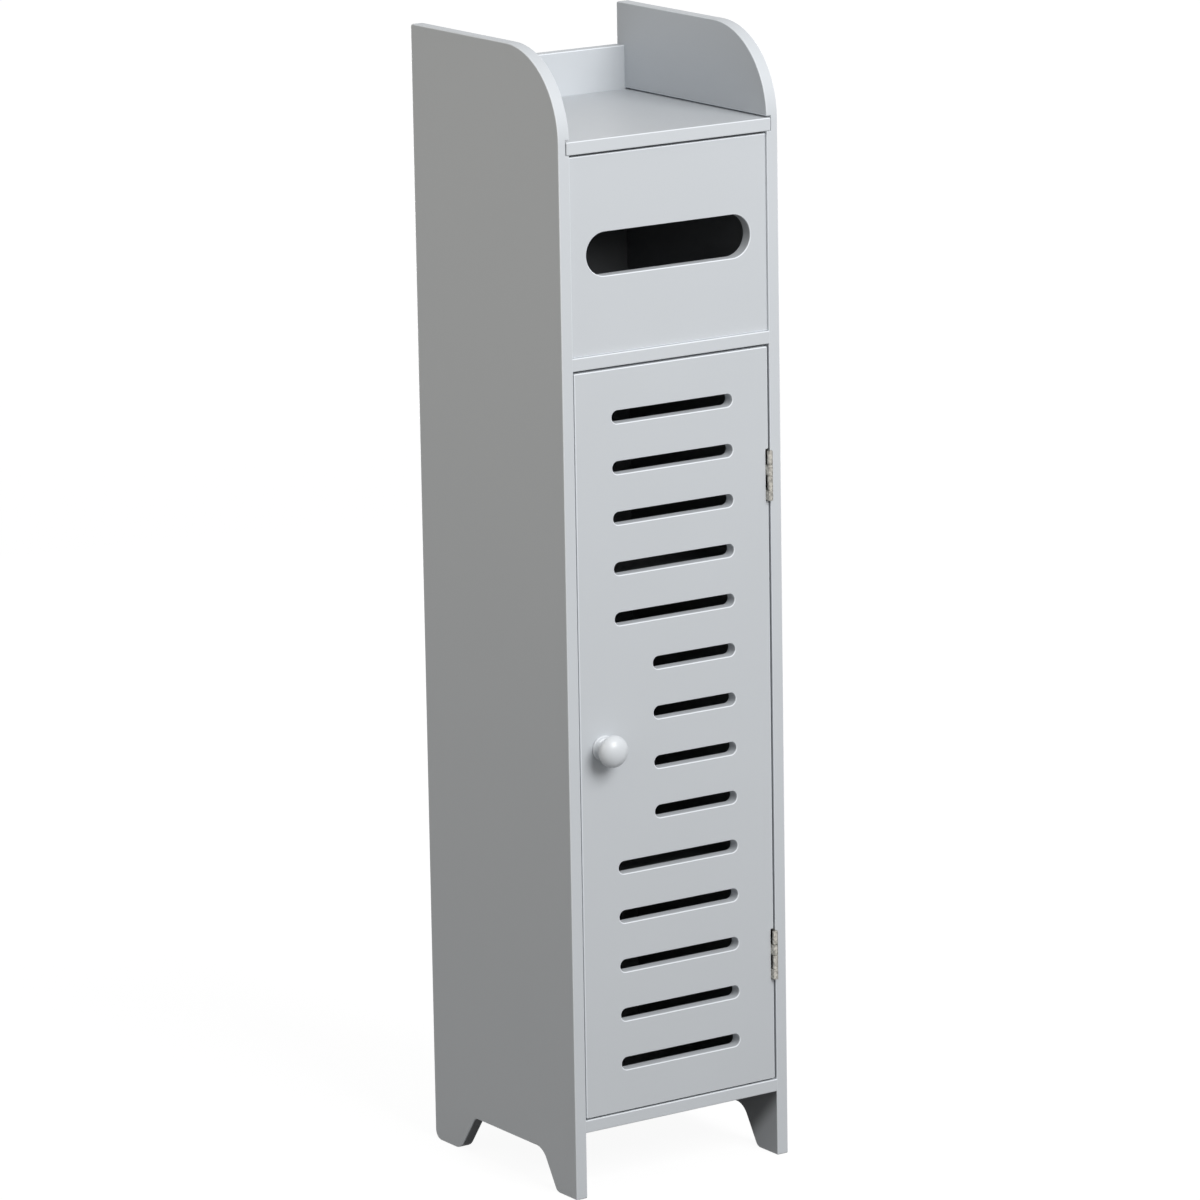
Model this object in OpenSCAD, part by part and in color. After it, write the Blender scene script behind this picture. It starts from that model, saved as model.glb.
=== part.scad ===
// Narrow free-standing toilet roll cabinet.
// Two side panels stand on cut-out feet and carry every other board between them. Above the
// divider is the roll bay: its lid slides forward in two grooves, and paper is drawn through the
// slot in its front. Below is a store with two shelves behind a slotted door, which hangs on two
// butt hinges let into its edge and is held shut by a magnetic catch.
//
// +Z is up, the front faces -Y, and the origin is on the floor at the centre of the whole outline.

/* [Cabinet] */
// Overall width across the side panels
cab_w = 180; // [170:1:240]
// Depth of the side panels
cab_d = 180; // [165:1:240]
// Overall height
cab_h = 800; // [760:1:1000]
// Thickness of the boards
board_t = 9; // [8:0.5:10]
// Height of the bottom board's underside above the floor
leg_h = 47; // [40:0.5:80]
// Rise of the side panels above the lid
top_rise = 61; // [60:1:90]
// Radius of the side panels' front top corner
top_r = 62; // [30:1:62]
// Radius of the side panels' rear top corner
rear_top_r = 2; // [1:0.5:6]

/* [Feet] */
// Height of the cut-out that leaves the feet
arch_h = 27.5; // [15:0.5:35]
// Length of the front foot on the floor
foot_front = 25; // [20:1:35]
// Length of the back foot on the floor
foot_back = 32; // [25:1:40]
// How far the cut-out's front end leans back
arch_lean_front = 17; // [10:1:22]
// How far the cut-out's back end leans forward
arch_lean_back = 20; // [10:1:24]
// Rounding at the top of the cut-out's front end
arch_r_front = 14; // [6:1:16]
// Rounding at the top of the cut-out's back end
arch_r_back = 6; // [4:1:12]
// Rounding of the front foot's inner corner
toe_r = 6; // [2:1:10]
// Rounding of the back foot's inner corner
heel_r = 12; // [2:1:14]
// Rounding of the back foot's outer corner
tail_r = 7; // [2:1:10]

/* [Roll bay] */
// Clear height between the divider and the lid
bay_h = 138.5; // [125:0.5:160]
// Depth of the lid's grooves in the side panels
groove_deep = 3.5; // [2.5:0.5:4]
// Height of the lid's grooves
groove_h = 10; // [9:0.5:12]
// Play between the lid's edge and the bottom of its groove, each side
lid_side_play = 0.5; // [0.3:0.1:1]
// Gap between the lid's back edge and the back board
lid_end_play = 0.3; // [0.2:0.1:1]
// How far the lid stands out past the side panels
lid_proud = 0.8; // [0:0.1:2]
// Setback of the slotted front of the roll bay
front_setback = 2; // [0:0.5:5]
// Gap between that front's top edge and the lid
front_top_gap = 1.5; // [0.5:0.1:3]
// Length of the paper slot
paper_slot_w = 135; // [110:1:136]
// Height of the paper slot
paper_slot_h = 30; // [20:1:40]
// Rise of the back board above the lid
back_rise = 31; // [15:1:50]

/* [Door] */
// Gap above the door
door_gap_top = 1.3; // [1:0.1:3]
// Gap below the door
door_gap_bottom = 1.2; // [1:0.1:3]
// Gap along the door's free edge
door_gap_free = 0.5; // [0.5:0.1:1.2]
// Gap along the door's hinged edge
door_gap_hinge = 1.3; // [0.8:0.1:1.5]
// Height of each slot in the door
slot_h = 9; // [5:0.5:12]
// Distance from one slot to the next
slot_pitch = 35.1; // [30:0.1:45]
// Solid margin from the door's edges to the slots' ends
slot_side_margin = 30.2; // [25:0.1:35]
// Least distance from the door's ends to the first slot's middle
slot_end_margin = 30; // [20:1:40]
// How much shorter the slots beside the knob are
slot_shortening = 31; // [20:1:40]
// Height range about the knob in which the slots are the short ones, each way
slot_short_reach = 70; // [50:1:90]

/* [Knob] */
// Distance of the knob from the door's free edge
knob_inset = 18.5; // [15:0.5:22]
// Height of the knob below the middle of the door
knob_drop = 0.5; // [-10:0.5:10]
// Diameter of the knob's foot
knob_foot_d = 20; // [17:0.5:23]
// Thickness of the knob's foot
knob_foot_t = 1.8; // [1:0.1:3]
// Diameter of the knob's neck
knob_neck_d = 11; // [9:0.5:13]
// Diameter of the knob's head
knob_head_d = 22.5; // [20:0.5:28]
// Distance from the door to the narrowest part of the neck
knob_neck_at = 5.5; // [4.5:0.1:6.5]
// Distance from the door to the widest part of the head
knob_head_at = 12.5; // [11.5:0.1:15]
// Height of the knob's dome beyond its widest part
knob_dome_h = 7.5; // [5:0.5:12]

/* [Hinges] */
// Height of each hinge
hinge_h = 35; // [33:0.5:44]
// Distance from the door's ends to the middle of the hinges
hinge_inset = 90.5; // [50:0.5:120]
// Diameter of the barrel
barrel_d = 3.8; // [3.4:0.1:4.2]
// Diameter of the pin
pin_d = 2; // [1.6:0.1:2]
// Thickness of the leaves
leaf_t = 0.9; // [0.7:0.1:1]
// Reach of each leaf from the pin's axis
leaf_reach = 10.2; // [9:0.1:10.5]
// Distance of the pin's axis in front of the door's face
pin_out = 2.2; // [1.6:0.1:2.2]
// Height of each knuckle on the frame's leaf
frame_knuckle_h = 9.6; // [8:0.1:12]
// Gap between neighbouring knuckles
knuckle_gap = 0.4; // [0.2:0.05:0.6]
// Distance between a leaf's two screws
hinge_screw_gap = 20; // [16:0.5:24]

/* [Catch] */
// Width of the magnet
magnet_w = 21.6; // [16:0.1:26]
// Thickness of the magnet
magnet_t = 5.2; // [4:0.1:6]
// Thickness of the steel plates that face the magnet
pole_t = 1.2; // [0.8:0.1:1.4]
// Depth of the catch from front to back
catch_d = 14; // [12:0.5:18]
// Distance from the door's free edge to the middle of the catch
catch_inset = 24; // [22:1:40]
// Thickness of the strike plate on the door
strike_t = 1.2; // [0.8:0.1:1.5]
// Height of the strike plate
strike_h = 10; // [9:0.5:12]

/* [Fixings] */
// Diameter of the dowels
dowel_d = 5; // [4:0.5:5]
// Depth of the dowel holes in the side panels
dowel_in_side = 6; // [5:0.5:7]
// Depth of the dowel holes in the boards' ends
dowel_in_board = 14; // [10:0.5:20]
// Length of the screws through the back board
back_screw_l = 25; // [20:1:30]
// Shank diameter of the screws through the back board
back_screw_d = 3; // [2.5:0.5:3.5]
// Length of the small screws of the hinges and of the catch
small_screw_l = 7.8; // [6:0.1:8]
// Shank diameter of the small screws
small_screw_d = 2.4; // [2:0.1:2.6]
// Diameter of the knob's screw
knob_screw_d = 4; // [3.5:0.5:4.5]
// Depth of the knob's screw in the knob
knob_screw_in = 9; // [7:0.5:10]

/* [Clearances] */
// Radial gap round a dowel or a screw in its hole
hole_fit = 0.05; // [0.03:0.01:0.1]
// Radial gap of the pin in the frame's knuckles, where it is pressed in
pin_press_fit = 0.02; // [0.01:0.01:0.04]
// Radial gap of the pin in the door's knuckles, which turn on it
pin_run_fit = 0.06; // [0.04:0.01:0.1]
// Gap past the end of a dowel or a screw in its hole
end_gap = 0.5; // [0.2:0.1:0.8]
// Gap above and below a hinge in the door's notch
notch_gap = 0.9; // [0.5:0.1:1]
// Gap between the catch's pole plates and the strike plate
catch_gap = 0.3; // [0.2:0.05:0.5]
// Gap round the magnet's stack in the catch's pocket
pocket_gap = 0.2; // [0.1:0.05:0.4]

/* [Hidden] */

// Paint and metals
paint = [0.77, 0.785, 0.80];
knob_white = [0.93, 0.935, 0.94];
hinge_metal = [0.66, 0.64, 0.59];
screw_metal = [0.74, 0.74, 0.72];
beech = [0.80, 0.66, 0.47];
catch_white = [0.90, 0.90, 0.88];
ferrite = [0.18, 0.18, 0.19];

// Facets of round surfaces, and the overrun of a cut past a face
round_fn = 48;
over = 1;

// Levels and depths, measured from the front plane of the side panels
inner_w = cab_w - 2 * board_t;
bottom_z = leg_h;
lid_z = cab_h - top_rise - board_t;
lid_top = lid_z + board_t;
divider_z = lid_z - bay_h - board_t;
store_z = bottom_z + board_t;
back_y = cab_d - board_t;
back_top = lid_top + back_rise;
front_panel_top = lid_z - front_top_gap;

// Door and its slots
door_w = inner_w - door_gap_free - door_gap_hinge;
door_x = -inner_w / 2 + door_gap_free;
door_z = store_z + door_gap_bottom;
door_h = divider_z - store_z - door_gap_top - door_gap_bottom;
door_mid_z = door_z + door_h / 2;
slot_count = floor((door_h - 2 * slot_end_margin) / slot_pitch) + 1;
slot_z0 = door_mid_z - (slot_count - 1) * slot_pitch / 2;
slot_full_w = door_w - 2 * slot_side_margin;
slot_right_x = door_x + door_w - slot_side_margin;
knob_x = door_x + knob_inset;
knob_z = door_mid_z - knob_drop;

// The lower shelf stands behind the door's solid bar next below a third of the height, and the
// upper one behind the bar as far above the door's middle
shelf_setback = 2;
shelf_front_y = board_t + shelf_setback;
third_z = store_z + (divider_z - store_z) / 3;
low_shelf_z = slot_z0 + (floor((third_z - slot_z0) / slot_pitch - 0.5) + 0.5) * slot_pitch;
shelf_mid_zs = [low_shelf_z, 2 * door_mid_z - low_shelf_z];

// Knob
knob_reach = knob_head_at + knob_dome_h;
knob_edge_r = 1;
knob_under = 3;
arc_step = 10;

// The outline reaches from the knob's dome to the back, and is centred on the origin
front_y = (knob_reach - cab_d) / 2;

// Hinges
barrel_r = barrel_d / 2;
hinge_x = inner_w / 2 - barrel_r;
notch_x = hinge_x - barrel_r;
hinge_zs = [door_z + hinge_inset - hinge_h / 2, door_z + door_h - hinge_inset - hinge_h / 2];
leaf_start = barrel_r + 0.3;
door_knuckle_h = (hinge_h - 3 * knuckle_gap) / 2 - frame_knuckle_h;
knuckle_pair = frame_knuckle_h + door_knuckle_h + 2 * knuckle_gap;
door_knuckle_zs = [0, knuckle_pair];
frame_knuckle_zs = [for (z = door_knuckle_zs) z + door_knuckle_h + knuckle_gap];
pin_over = 0.4;
hinge_screw_y = (leaf_start + leaf_reach) / 2;
hinge_screw_zs = [for (end = [-1, 1]) hinge_h / 2 + end * hinge_screw_gap / 2];

// Catch
pocket_h = magnet_t + 2 * pole_t + 2 * pocket_gap;
catch_floor = 2;
catch_top_wall = 3;
catch_h = catch_floor + pocket_h + catch_top_wall;
catch_cheek = 1.6;
catch_case_w = magnet_w + 2 * pocket_gap + 2 * catch_cheek;
catch_ear = 6;
catch_w = catch_case_w + 2 * catch_ear;
catch_ear_t = 3;
catch_x = door_x + catch_inset;
pole_proud = 0.6;
catch_front_y = board_t + strike_t + catch_gap + pole_proud;
pocket_deep = catch_d - 3;
pocket_mid_z = divider_z - catch_top_wall - pocket_h / 2;
catch_screw_x = catch_case_w / 2 + catch_ear / 2;
catch_screw_l = catch_ear_t + small_screw_l - 1.3;
strike_screw_x = magnet_w / 2 + 3;
strike_w = 2 * strike_screw_x + 7;

// Screw heads: countersunk ones are as deep as a hinge leaf or wider
small_head_r = 2.1;
back_head_r = 3;
back_head_t = 1.8;
pan_head_r = 3.8;
pan_head_t = 2.4;
recess_w = 0.5;

// Where the boards are dowelled to the sides, as [depth from the front, height]
function board_row(z) = [for (y = [back_y * 0.18, back_y * 0.82]) [y, z + board_t / 2]];
bottom_joints = board_row(bottom_z);
divider_joints = board_row(divider_z);
shelf_joints = [for (mid = shelf_mid_zs) each board_row(mid - board_t / 2)];
front_mid_y = front_setback + board_t / 2;
front_panel_joints = [for (share = [0.2, 0.8])
    [front_mid_y, divider_z + board_t + share * (front_panel_top - divider_z - board_t)]];
back_mid_y = back_y + board_t / 2;
back_joints = [for (share = [0.1, 0.5, 0.9]) [back_mid_y, bottom_z + share * (back_top - bottom_z)]];
side_joints = concat(bottom_joints, divider_joints, shelf_joints, front_panel_joints, back_joints);

// Screws through the back board, as [distance from the middle, height]
back_screw_zs = concat([bottom_z, divider_z], [for (mid = shelf_mid_zs) mid - board_t / 2]);
back_screw_spots = [for (z = back_screw_zs, side = [-1, 1]) [side * inner_w * 0.31, z + board_t / 2]];

// ---- Shapes that several pieces share ----

// Corner points of a polygon given as [x, y, radius], with each corner rounded to its radius
function unit(v) = v / norm(v);
function rounded_corner(before, at, after) =
    let (
        corner = [at[0], at[1]],
        to_before = unit([before[0], before[1]] - corner),
        to_after = unit([after[0], after[1]] - corner),
        half_turn = acos(to_before * to_after) / 2,
        centre = corner + unit(to_before + to_after) * at[2] / sin(half_turn),
        start = corner + to_before * at[2] / tan(half_turn) - centre,
        stop = corner + to_after * at[2] / tan(half_turn) - centre,
        sweep = 180 - 2 * half_turn,
        steps = max(4, ceil(sweep / 3.75))
    )
    [for (i = [0 : steps])
        centre + (start * sin(sweep * (1 - i / steps)) + stop * sin(sweep * i / steps)) / sin(sweep)];
function rounded(corners) = [
    for (i = [0 : len(corners) - 1])
        let (
            count = len(corners),
            at = corners[i],
            before = corners[(i + count - 1) % count],
            after = corners[(i + 1) % count]
        )
        each (at[2] == 0 ? [[at[0], at[1]]] : rounded_corner(before, at, after))
];

// Straight slot with round ends, centred, in the plane of a board that faces the front
module slot_outline(length, height) {
    square([length - height, height], center = true);
    for (end = [-1, 1])
        translate([end * (length - height) / 2, 0]) circle(d = height, $fn = round_fn);
}

// Board between the side panels, from its front edge's depth to its back edge's
module cross_board(y0, y1, z, width = inner_w) {
    translate([-width / 2, y0, z]) cube([width, y1 - y0, board_t]);
}

// Upright board that faces the front
module upright_board(y, z0, z1, width = inner_w) {
    translate([-width / 2, y, z0]) cube([width, board_t, z1 - z0]);
}

// Copies what follows at both ends of a board, with +X pointing into the side panel
module at_both_sides() {
    for (flip = [0, 1]) mirror([flip, 0, 0]) children();
}

// Holes for dowels, half in the board's end and half in the side panel
module dowel_bores(joints) {
    at_both_sides()
        for (joint = joints)
            translate([inner_w / 2 - dowel_in_board, joint[0], joint[1]])
                rotate([0, 90, 0])
                    cylinder(d = dowel_d, h = dowel_in_board + dowel_in_side, $fn = round_fn);
}

// Dowels with chamfered ends, in those holes
module dowels(joints) {
    length = dowel_in_board + dowel_in_side - 2 * end_gap;
    radius = dowel_d / 2 - hole_fit;
    chamfer = 0.6;
    at_both_sides()
        for (joint = joints)
            translate([inner_w / 2 - dowel_in_board + end_gap, joint[0], joint[1]])
                rotate([0, 90, 0])
                    rotate_extrude($fn = round_fn)
                        polygon([
                            [0, 0], [radius - chamfer, 0], [radius, chamfer],
                            [radius, length - chamfer], [radius - chamfer, length], [0, length]
                        ]);
}

// Countersunk screw along +Z, with the flat of its head at the origin
module countersunk(head_r, head_t, shank_d, length) {
    tip = shank_d;
    difference() {
        rotate_extrude($fn = round_fn)
            polygon([
                [0, 0], [head_r, 0], [shank_d / 2, head_t],
                [shank_d / 2, length - tip], [0, length]
            ]);
        cross_recess(head_r, head_t / 2);
    }
}

// Cross-shaped drive recess, cut down along +Z from the origin
module cross_recess(head_r, depth) {
    for (turn = [0, 90])
        rotate([0, 0, turn])
            translate([-head_r * 0.55, -recess_w / 2, -over])
                cube([head_r * 1.1, recess_w, depth + over]);
}

// Hole for that screw, wider by the fit all round and open past its head
module countersunk_bore(head_r, head_t, shank_d, length) {
    rotate_extrude($fn = round_fn)
        polygon([
            [0, -over], [head_r + hole_fit, -over], [head_r + hole_fit, 0],
            [shank_d / 2 + hole_fit, head_t], [shank_d / 2 + hole_fit, length + end_gap],
            [0, length + end_gap]
        ]);
}

// Pan-head screw along +Z: the underside of its head is at the origin and the head is below it
module pan_screw(head_r, head_t, shank_d, length) {
    difference() {
        rotate_extrude($fn = round_fn)
            polygon(concat(
                [[0, -head_t]],
                [for (a = [80 : -10 : 10]) [head_r * cos(a), -head_t * (0.4 + 0.6 * sin(a))]],
                [[head_r, -head_t * 0.4], [head_r, 0], [shank_d / 2, 0],
                 [shank_d / 2, length - shank_d / 2], [0, length]]
            ));
        translate([0, 0, -head_t]) cross_recess(head_r, head_t * 0.5);
    }
}

// ---- Side panels ----

// Right side panel's outline, front edge at 0, seen along -X
module side_outline() {
    polygon(rounded([
        [0, 0, 0],
        [foot_front, 0, toe_r],
        [foot_front + arch_lean_front, arch_h, arch_r_front],
        [cab_d - foot_back - arch_lean_back, arch_h, arch_r_back],
        [cab_d - foot_back, 0, heel_r],
        [cab_d, 0, tail_r],
        [cab_d, cab_h, rear_top_r],
        [0, cab_h, top_r]
    ]));
}

// Side panel on the right, with the lid's groove and the dowel holes, before any hinge
module side_panel() {
    difference() {
        translate([inner_w / 2, 0, 0])
            rotate([90, 0, 90]) linear_extrude(board_t) side_outline();
        translate([inner_w / 2 - over, -over, lid_z])
            cube([groove_deep + over, back_y + over, groove_h]);
        dowel_bores(side_joints);
    }
}

module side_panel_left() {
    color(paint) translate([0, front_y, 0]) mirror([1, 0, 0]) side_panel();
}

module side_panel_right() {
    color(paint) translate([0, front_y, 0]) difference() {
        side_panel();
        at_hinges() leaf_screw_bores();
    }
}

// ---- Boards ----

module bottom_board() {
    color(paint) translate([0, front_y, 0]) difference() {
        cross_board(0, back_y, bottom_z);
        dowel_bores(bottom_joints);
        back_screw_bores();
    }
}

module divider_board() {
    color(paint) translate([0, front_y, 0]) difference() {
        cross_board(0, back_y, divider_z);
        dowel_bores(divider_joints);
        back_screw_bores();
        at_catch_screws()
            cylinder(d = small_screw_d + 2 * hole_fit, h = catch_screw_l + end_gap, $fn = round_fn);
    }
}

module shelf(mid_z) {
    difference() {
        cross_board(shelf_front_y, back_y, mid_z - board_t / 2);
        dowel_bores(shelf_joints);
        back_screw_bores();
    }
}

module shelf_lower() {
    color(paint) translate([0, front_y, 0]) shelf(shelf_mid_zs[0]);
}

module shelf_upper() {
    color(paint) translate([0, front_y, 0]) shelf(shelf_mid_zs[1]);
}

module back_board() {
    color(paint) translate([0, front_y, 0]) difference() {
        upright_board(back_y, bottom_z, back_top);
        dowel_bores(back_joints);
        back_screw_bores();
    }
}

// Front of the roll bay, with the slot that the paper is drawn through
module front_panel() {
    slot_z = (divider_z + board_t + front_panel_top) / 2;
    color(paint) translate([0, front_y, 0]) difference() {
        upright_board(front_setback, divider_z + board_t, front_panel_top);
        translate([0, front_setback + board_t + over, slot_z])
            rotate([90, 0, 0])
                linear_extrude(board_t + 2 * over) slot_outline(paper_slot_w, paper_slot_h);
        dowel_bores(front_panel_joints);
    }
}

// Lid of the roll bay: its edges run in the side panels' grooves and it lies on their floors
module sliding_lid() {
    lid_w = inner_w + 2 * (groove_deep - lid_side_play);
    color(paint) translate([0, front_y, 0])
        cross_board(-lid_proud, back_y - lid_end_play, lid_z, lid_w);
}

// ---- Door ----

// Slot number i from the bottom: the ones beside the knob start further right
module door_slot(i) {
    z = slot_z0 + i * slot_pitch;
    length = slot_full_w - (abs(z - knob_z) < slot_short_reach ? slot_shortening : 0);
    translate([slot_right_x - length / 2, z]) slot_outline(length, slot_h);
}

module door() {
    color(paint) translate([0, front_y, 0]) difference() {
        translate([0, board_t, 0])
            rotate([90, 0, 0])
                linear_extrude(board_t)
                    difference() {
                        translate([door_x, door_z]) square([door_w, door_h]);
                        for (i = [0 : slot_count - 1]) door_slot(i);
                        for (z = hinge_zs)
                            translate([notch_x, z - notch_gap])
                                square([door_w, hinge_h + 2 * notch_gap]);
                    }
        at_hinges() mirror([1, 0, 0]) leaf_screw_bores();
        at_strike_screws() countersunk_bore(small_head_r, strike_t, small_screw_d, small_screw_l);
        translate([knob_x, -over, knob_z])
            rotate([-90, 0, 0])
                cylinder(d = knob_screw_d + 2 * hole_fit, h = board_t + 2 * over, $fn = round_fn);
    }
}

// Half profile of the knob: foot, waist, flared underside, rim and dome, as [radius, distance out]
function knob_profile() =
    let (
        foot_r = knob_foot_d / 2,
        neck_r = knob_neck_d / 2,
        head_r = knob_head_d / 2,
        top_z = knob_foot_t,
        under_z = knob_head_at - knob_under + knob_edge_r,
        foot_in = foot_r - knob_edge_r,
        head_in = head_r - knob_edge_r
    )
    concat(
        [[0, 0], [foot_r, 0]],
        [for (a = [0 : arc_step : 90])
            [foot_in + knob_edge_r * cos(a), top_z - knob_edge_r + knob_edge_r * sin(a)]],
        [for (a = [arc_step : arc_step : 90])
            [foot_in - (foot_in - neck_r) * sin(a), top_z + (knob_neck_at - top_z) * (1 - cos(a))]],
        [for (a = [arc_step : arc_step : 90])
            [neck_r + (head_in - neck_r) * (1 - cos(a)), knob_neck_at + (under_z - knob_neck_at) * sin(a)]],
        [for (a = [arc_step : arc_step : 90])
            [head_in + knob_edge_r * sin(a), knob_head_at - (knob_head_at - under_z) * cos(a)]],
        [for (a = [arc_step : arc_step : 90])
            [head_r * cos(a), knob_head_at + knob_dome_h * sin(a)]]
    );

module knob() {
    color(knob_white) translate([knob_x, front_y, knob_z]) rotate([90, 0, 0])
        difference() {
            rotate_extrude($fn = 72) polygon(knob_profile());
            translate([0, 0, -over])
                cylinder(d = knob_screw_d + 2 * hole_fit, h = knob_screw_in + end_gap + over, $fn = round_fn);
        }
}

// Screw from inside the door into the knob
module knob_screw() {
    color(screw_metal) translate([knob_x, front_y + board_t, knob_z])
        rotate([90, 0, 0])
            pan_screw(pan_head_r, pan_head_t, knob_screw_d, board_t + knob_screw_in);
}

// ---- Hinges ----

// Puts what follows at each hinge: origin on the pin's axis, at the hinge's lower end
module at_hinges() {
    for (z = hinge_zs) translate([hinge_x, -pin_out, z]) children();
}

// Screws of the leaf that lies to the right of the pin, pointing right
module at_leaf_screws() {
    for (z = hinge_screw_zs)
        translate([barrel_r - leaf_t, hinge_screw_y, z]) rotate([0, 90, 0]) children();
}

module leaf_screws() {
    at_leaf_screws() countersunk(small_head_r, leaf_t, small_screw_d, small_screw_l);
}

module leaf_screw_bores() {
    at_leaf_screws() countersunk_bore(small_head_r, leaf_t, small_screw_d, small_screw_l);
}

// Leaf to the right of the pin: plate, rolled knuckles at the heights given, and screw holes
module hinge_leaf(knuckle_zs, knuckle_h, fit) {
    difference() {
        union() {
            translate([barrel_r - leaf_t, leaf_start, 0])
                cube([leaf_t, leaf_reach - leaf_start, hinge_h]);
            for (z = knuckle_zs)
                translate([0, 0, z]) {
                    cylinder(d = barrel_d, h = knuckle_h, $fn = round_fn);
                    translate([barrel_r - leaf_t, 0, 0]) cube([leaf_t, leaf_start, knuckle_h]);
                }
        }
        translate([0, 0, -over]) cylinder(d = pin_d + 2 * fit, h = hinge_h + 2 * over, $fn = round_fn);
        leaf_screw_bores();
    }
}

module frame_leaf(z) {
    translate([hinge_x, front_y - pin_out, z])
        hinge_leaf(frame_knuckle_zs, frame_knuckle_h, pin_press_fit);
}

module door_leaf(z) {
    translate([hinge_x, front_y - pin_out, z])
        mirror([1, 0, 0]) hinge_leaf(door_knuckle_zs, door_knuckle_h, pin_run_fit);
}

// Pin with chamfered ends, a little longer than the barrel
module hinge_pin(z) {
    length = hinge_h + 2 * pin_over;
    chamfer = 0.3;
    translate([hinge_x, front_y - pin_out, z - pin_over])
        rotate_extrude($fn = round_fn)
            polygon([
                [0, 0], [pin_d / 2 - chamfer, 0], [pin_d / 2, chamfer],
                [pin_d / 2, length - chamfer], [pin_d / 2 - chamfer, length], [0, length]
            ]);
}

module hinge_upper_frame_leaf() {
    color(hinge_metal) frame_leaf(hinge_zs[1]);
}

module hinge_upper_door_leaf() {
    color(hinge_metal) door_leaf(hinge_zs[1]);
}

module hinge_upper_pin() {
    color(hinge_metal) hinge_pin(hinge_zs[1]);
}

module hinge_lower_frame_leaf() {
    color(hinge_metal) frame_leaf(hinge_zs[0]);
}

module hinge_lower_door_leaf() {
    color(hinge_metal) door_leaf(hinge_zs[0]);
}

module hinge_lower_pin() {
    color(hinge_metal) hinge_pin(hinge_zs[0]);
}

module hinge_frame_screws() {
    color(screw_metal) translate([0, front_y, 0]) at_hinges() leaf_screws();
}

module hinge_door_screws() {
    color(screw_metal) translate([0, front_y, 0]) at_hinges() mirror([1, 0, 0]) leaf_screws();
}

// ---- Magnetic catch under the divider, and its strike plate on the door ----

// Puts what follows at the catch's screws, pointing up, at the underside of its ears
module at_catch_screws() {
    for (end = [-1, 1])
        translate([catch_x + end * catch_screw_x, catch_front_y + catch_d / 2, divider_z - catch_ear_t])
            children();
}

// Case with a pocket for the magnet, open at the front, between two ears
module catch_body() {
    color(catch_white) translate([0, front_y, 0]) difference() {
        union() {
            translate([catch_x - catch_case_w / 2, catch_front_y, divider_z - catch_h])
                cube([catch_case_w, catch_d, catch_h]);
            translate([catch_x - catch_w / 2, catch_front_y, divider_z - catch_ear_t])
                cube([catch_w, catch_d, catch_ear_t]);
        }
        translate([catch_x - magnet_w / 2 - pocket_gap, catch_front_y - over, pocket_mid_z - pocket_h / 2])
            cube([magnet_w + 2 * pocket_gap, pocket_deep + over, pocket_h]);
        at_catch_screws() translate([0, 0, -over])
            cylinder(d = small_screw_d + 2 * hole_fit, h = catch_ear_t + 2 * over, $fn = round_fn);
    }
}

module catch_magnet() {
    magnet_d = pocket_deep - pocket_gap;
    color(ferrite) translate([catch_x - magnet_w / 2, front_y + catch_front_y, pocket_mid_z - magnet_t / 2])
        cube([magnet_w, magnet_d, magnet_t]);
}

// Two steel plates on the magnet's faces, which stand a little out of the pocket
module catch_pole_plates() {
    color(screw_metal) for (z = [pocket_mid_z + magnet_t / 2, pocket_mid_z - magnet_t / 2 - pole_t])
        translate([catch_x - magnet_w / 2, front_y + catch_front_y - pole_proud, z])
            cube([magnet_w, pocket_deep - pocket_gap + pole_proud, pole_t]);
}

module catch_screws() {
    color(screw_metal) translate([0, front_y, 0])
        at_catch_screws() pan_screw(small_head_r, 1.5, small_screw_d, catch_screw_l);
}

// Puts what follows at the strike plate's screws, pointing into the door from behind
module at_strike_screws() {
    for (end = [-1, 1])
        translate([catch_x + end * strike_screw_x, board_t + strike_t, pocket_mid_z])
            rotate([90, 0, 0]) children();
}

module strike_plate() {
    color(screw_metal) translate([0, front_y, 0]) difference() {
        translate([catch_x - strike_w / 2, board_t, pocket_mid_z - strike_h / 2])
            cube([strike_w, strike_t, strike_h]);
        at_strike_screws() countersunk_bore(small_head_r, strike_t, small_screw_d, small_screw_l);
    }
}

module strike_screws() {
    color(screw_metal) translate([0, front_y, 0])
        at_strike_screws() countersunk(small_head_r, strike_t, small_screw_d, small_screw_l);
}

// ---- Dowels and screws of the carcass ----

module bottom_dowels() {
    color(beech) translate([0, front_y, 0]) dowels(bottom_joints);
}

module divider_dowels() {
    color(beech) translate([0, front_y, 0]) dowels(divider_joints);
}

module shelf_dowels() {
    color(beech) translate([0, front_y, 0]) dowels(shelf_joints);
}

module front_panel_dowels() {
    color(beech) translate([0, front_y, 0]) dowels(front_panel_joints);
}

module back_dowels() {
    color(beech) translate([0, front_y, 0]) dowels(back_joints);
}

// Puts what follows at the screws in the back board, pointing forward from its back face
module at_back_screws() {
    for (spot = back_screw_spots)
        translate([spot[0], cab_d, spot[1]]) rotate([90, 0, 0]) children();
}

module back_screw_bores() {
    at_back_screws() countersunk_bore(back_head_r, back_head_t, back_screw_d, back_screw_l);
}

module back_screws() {
    color(screw_metal) translate([0, front_y, 0])
        at_back_screws() countersunk(back_head_r, back_head_t, back_screw_d, back_screw_l);
}

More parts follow.
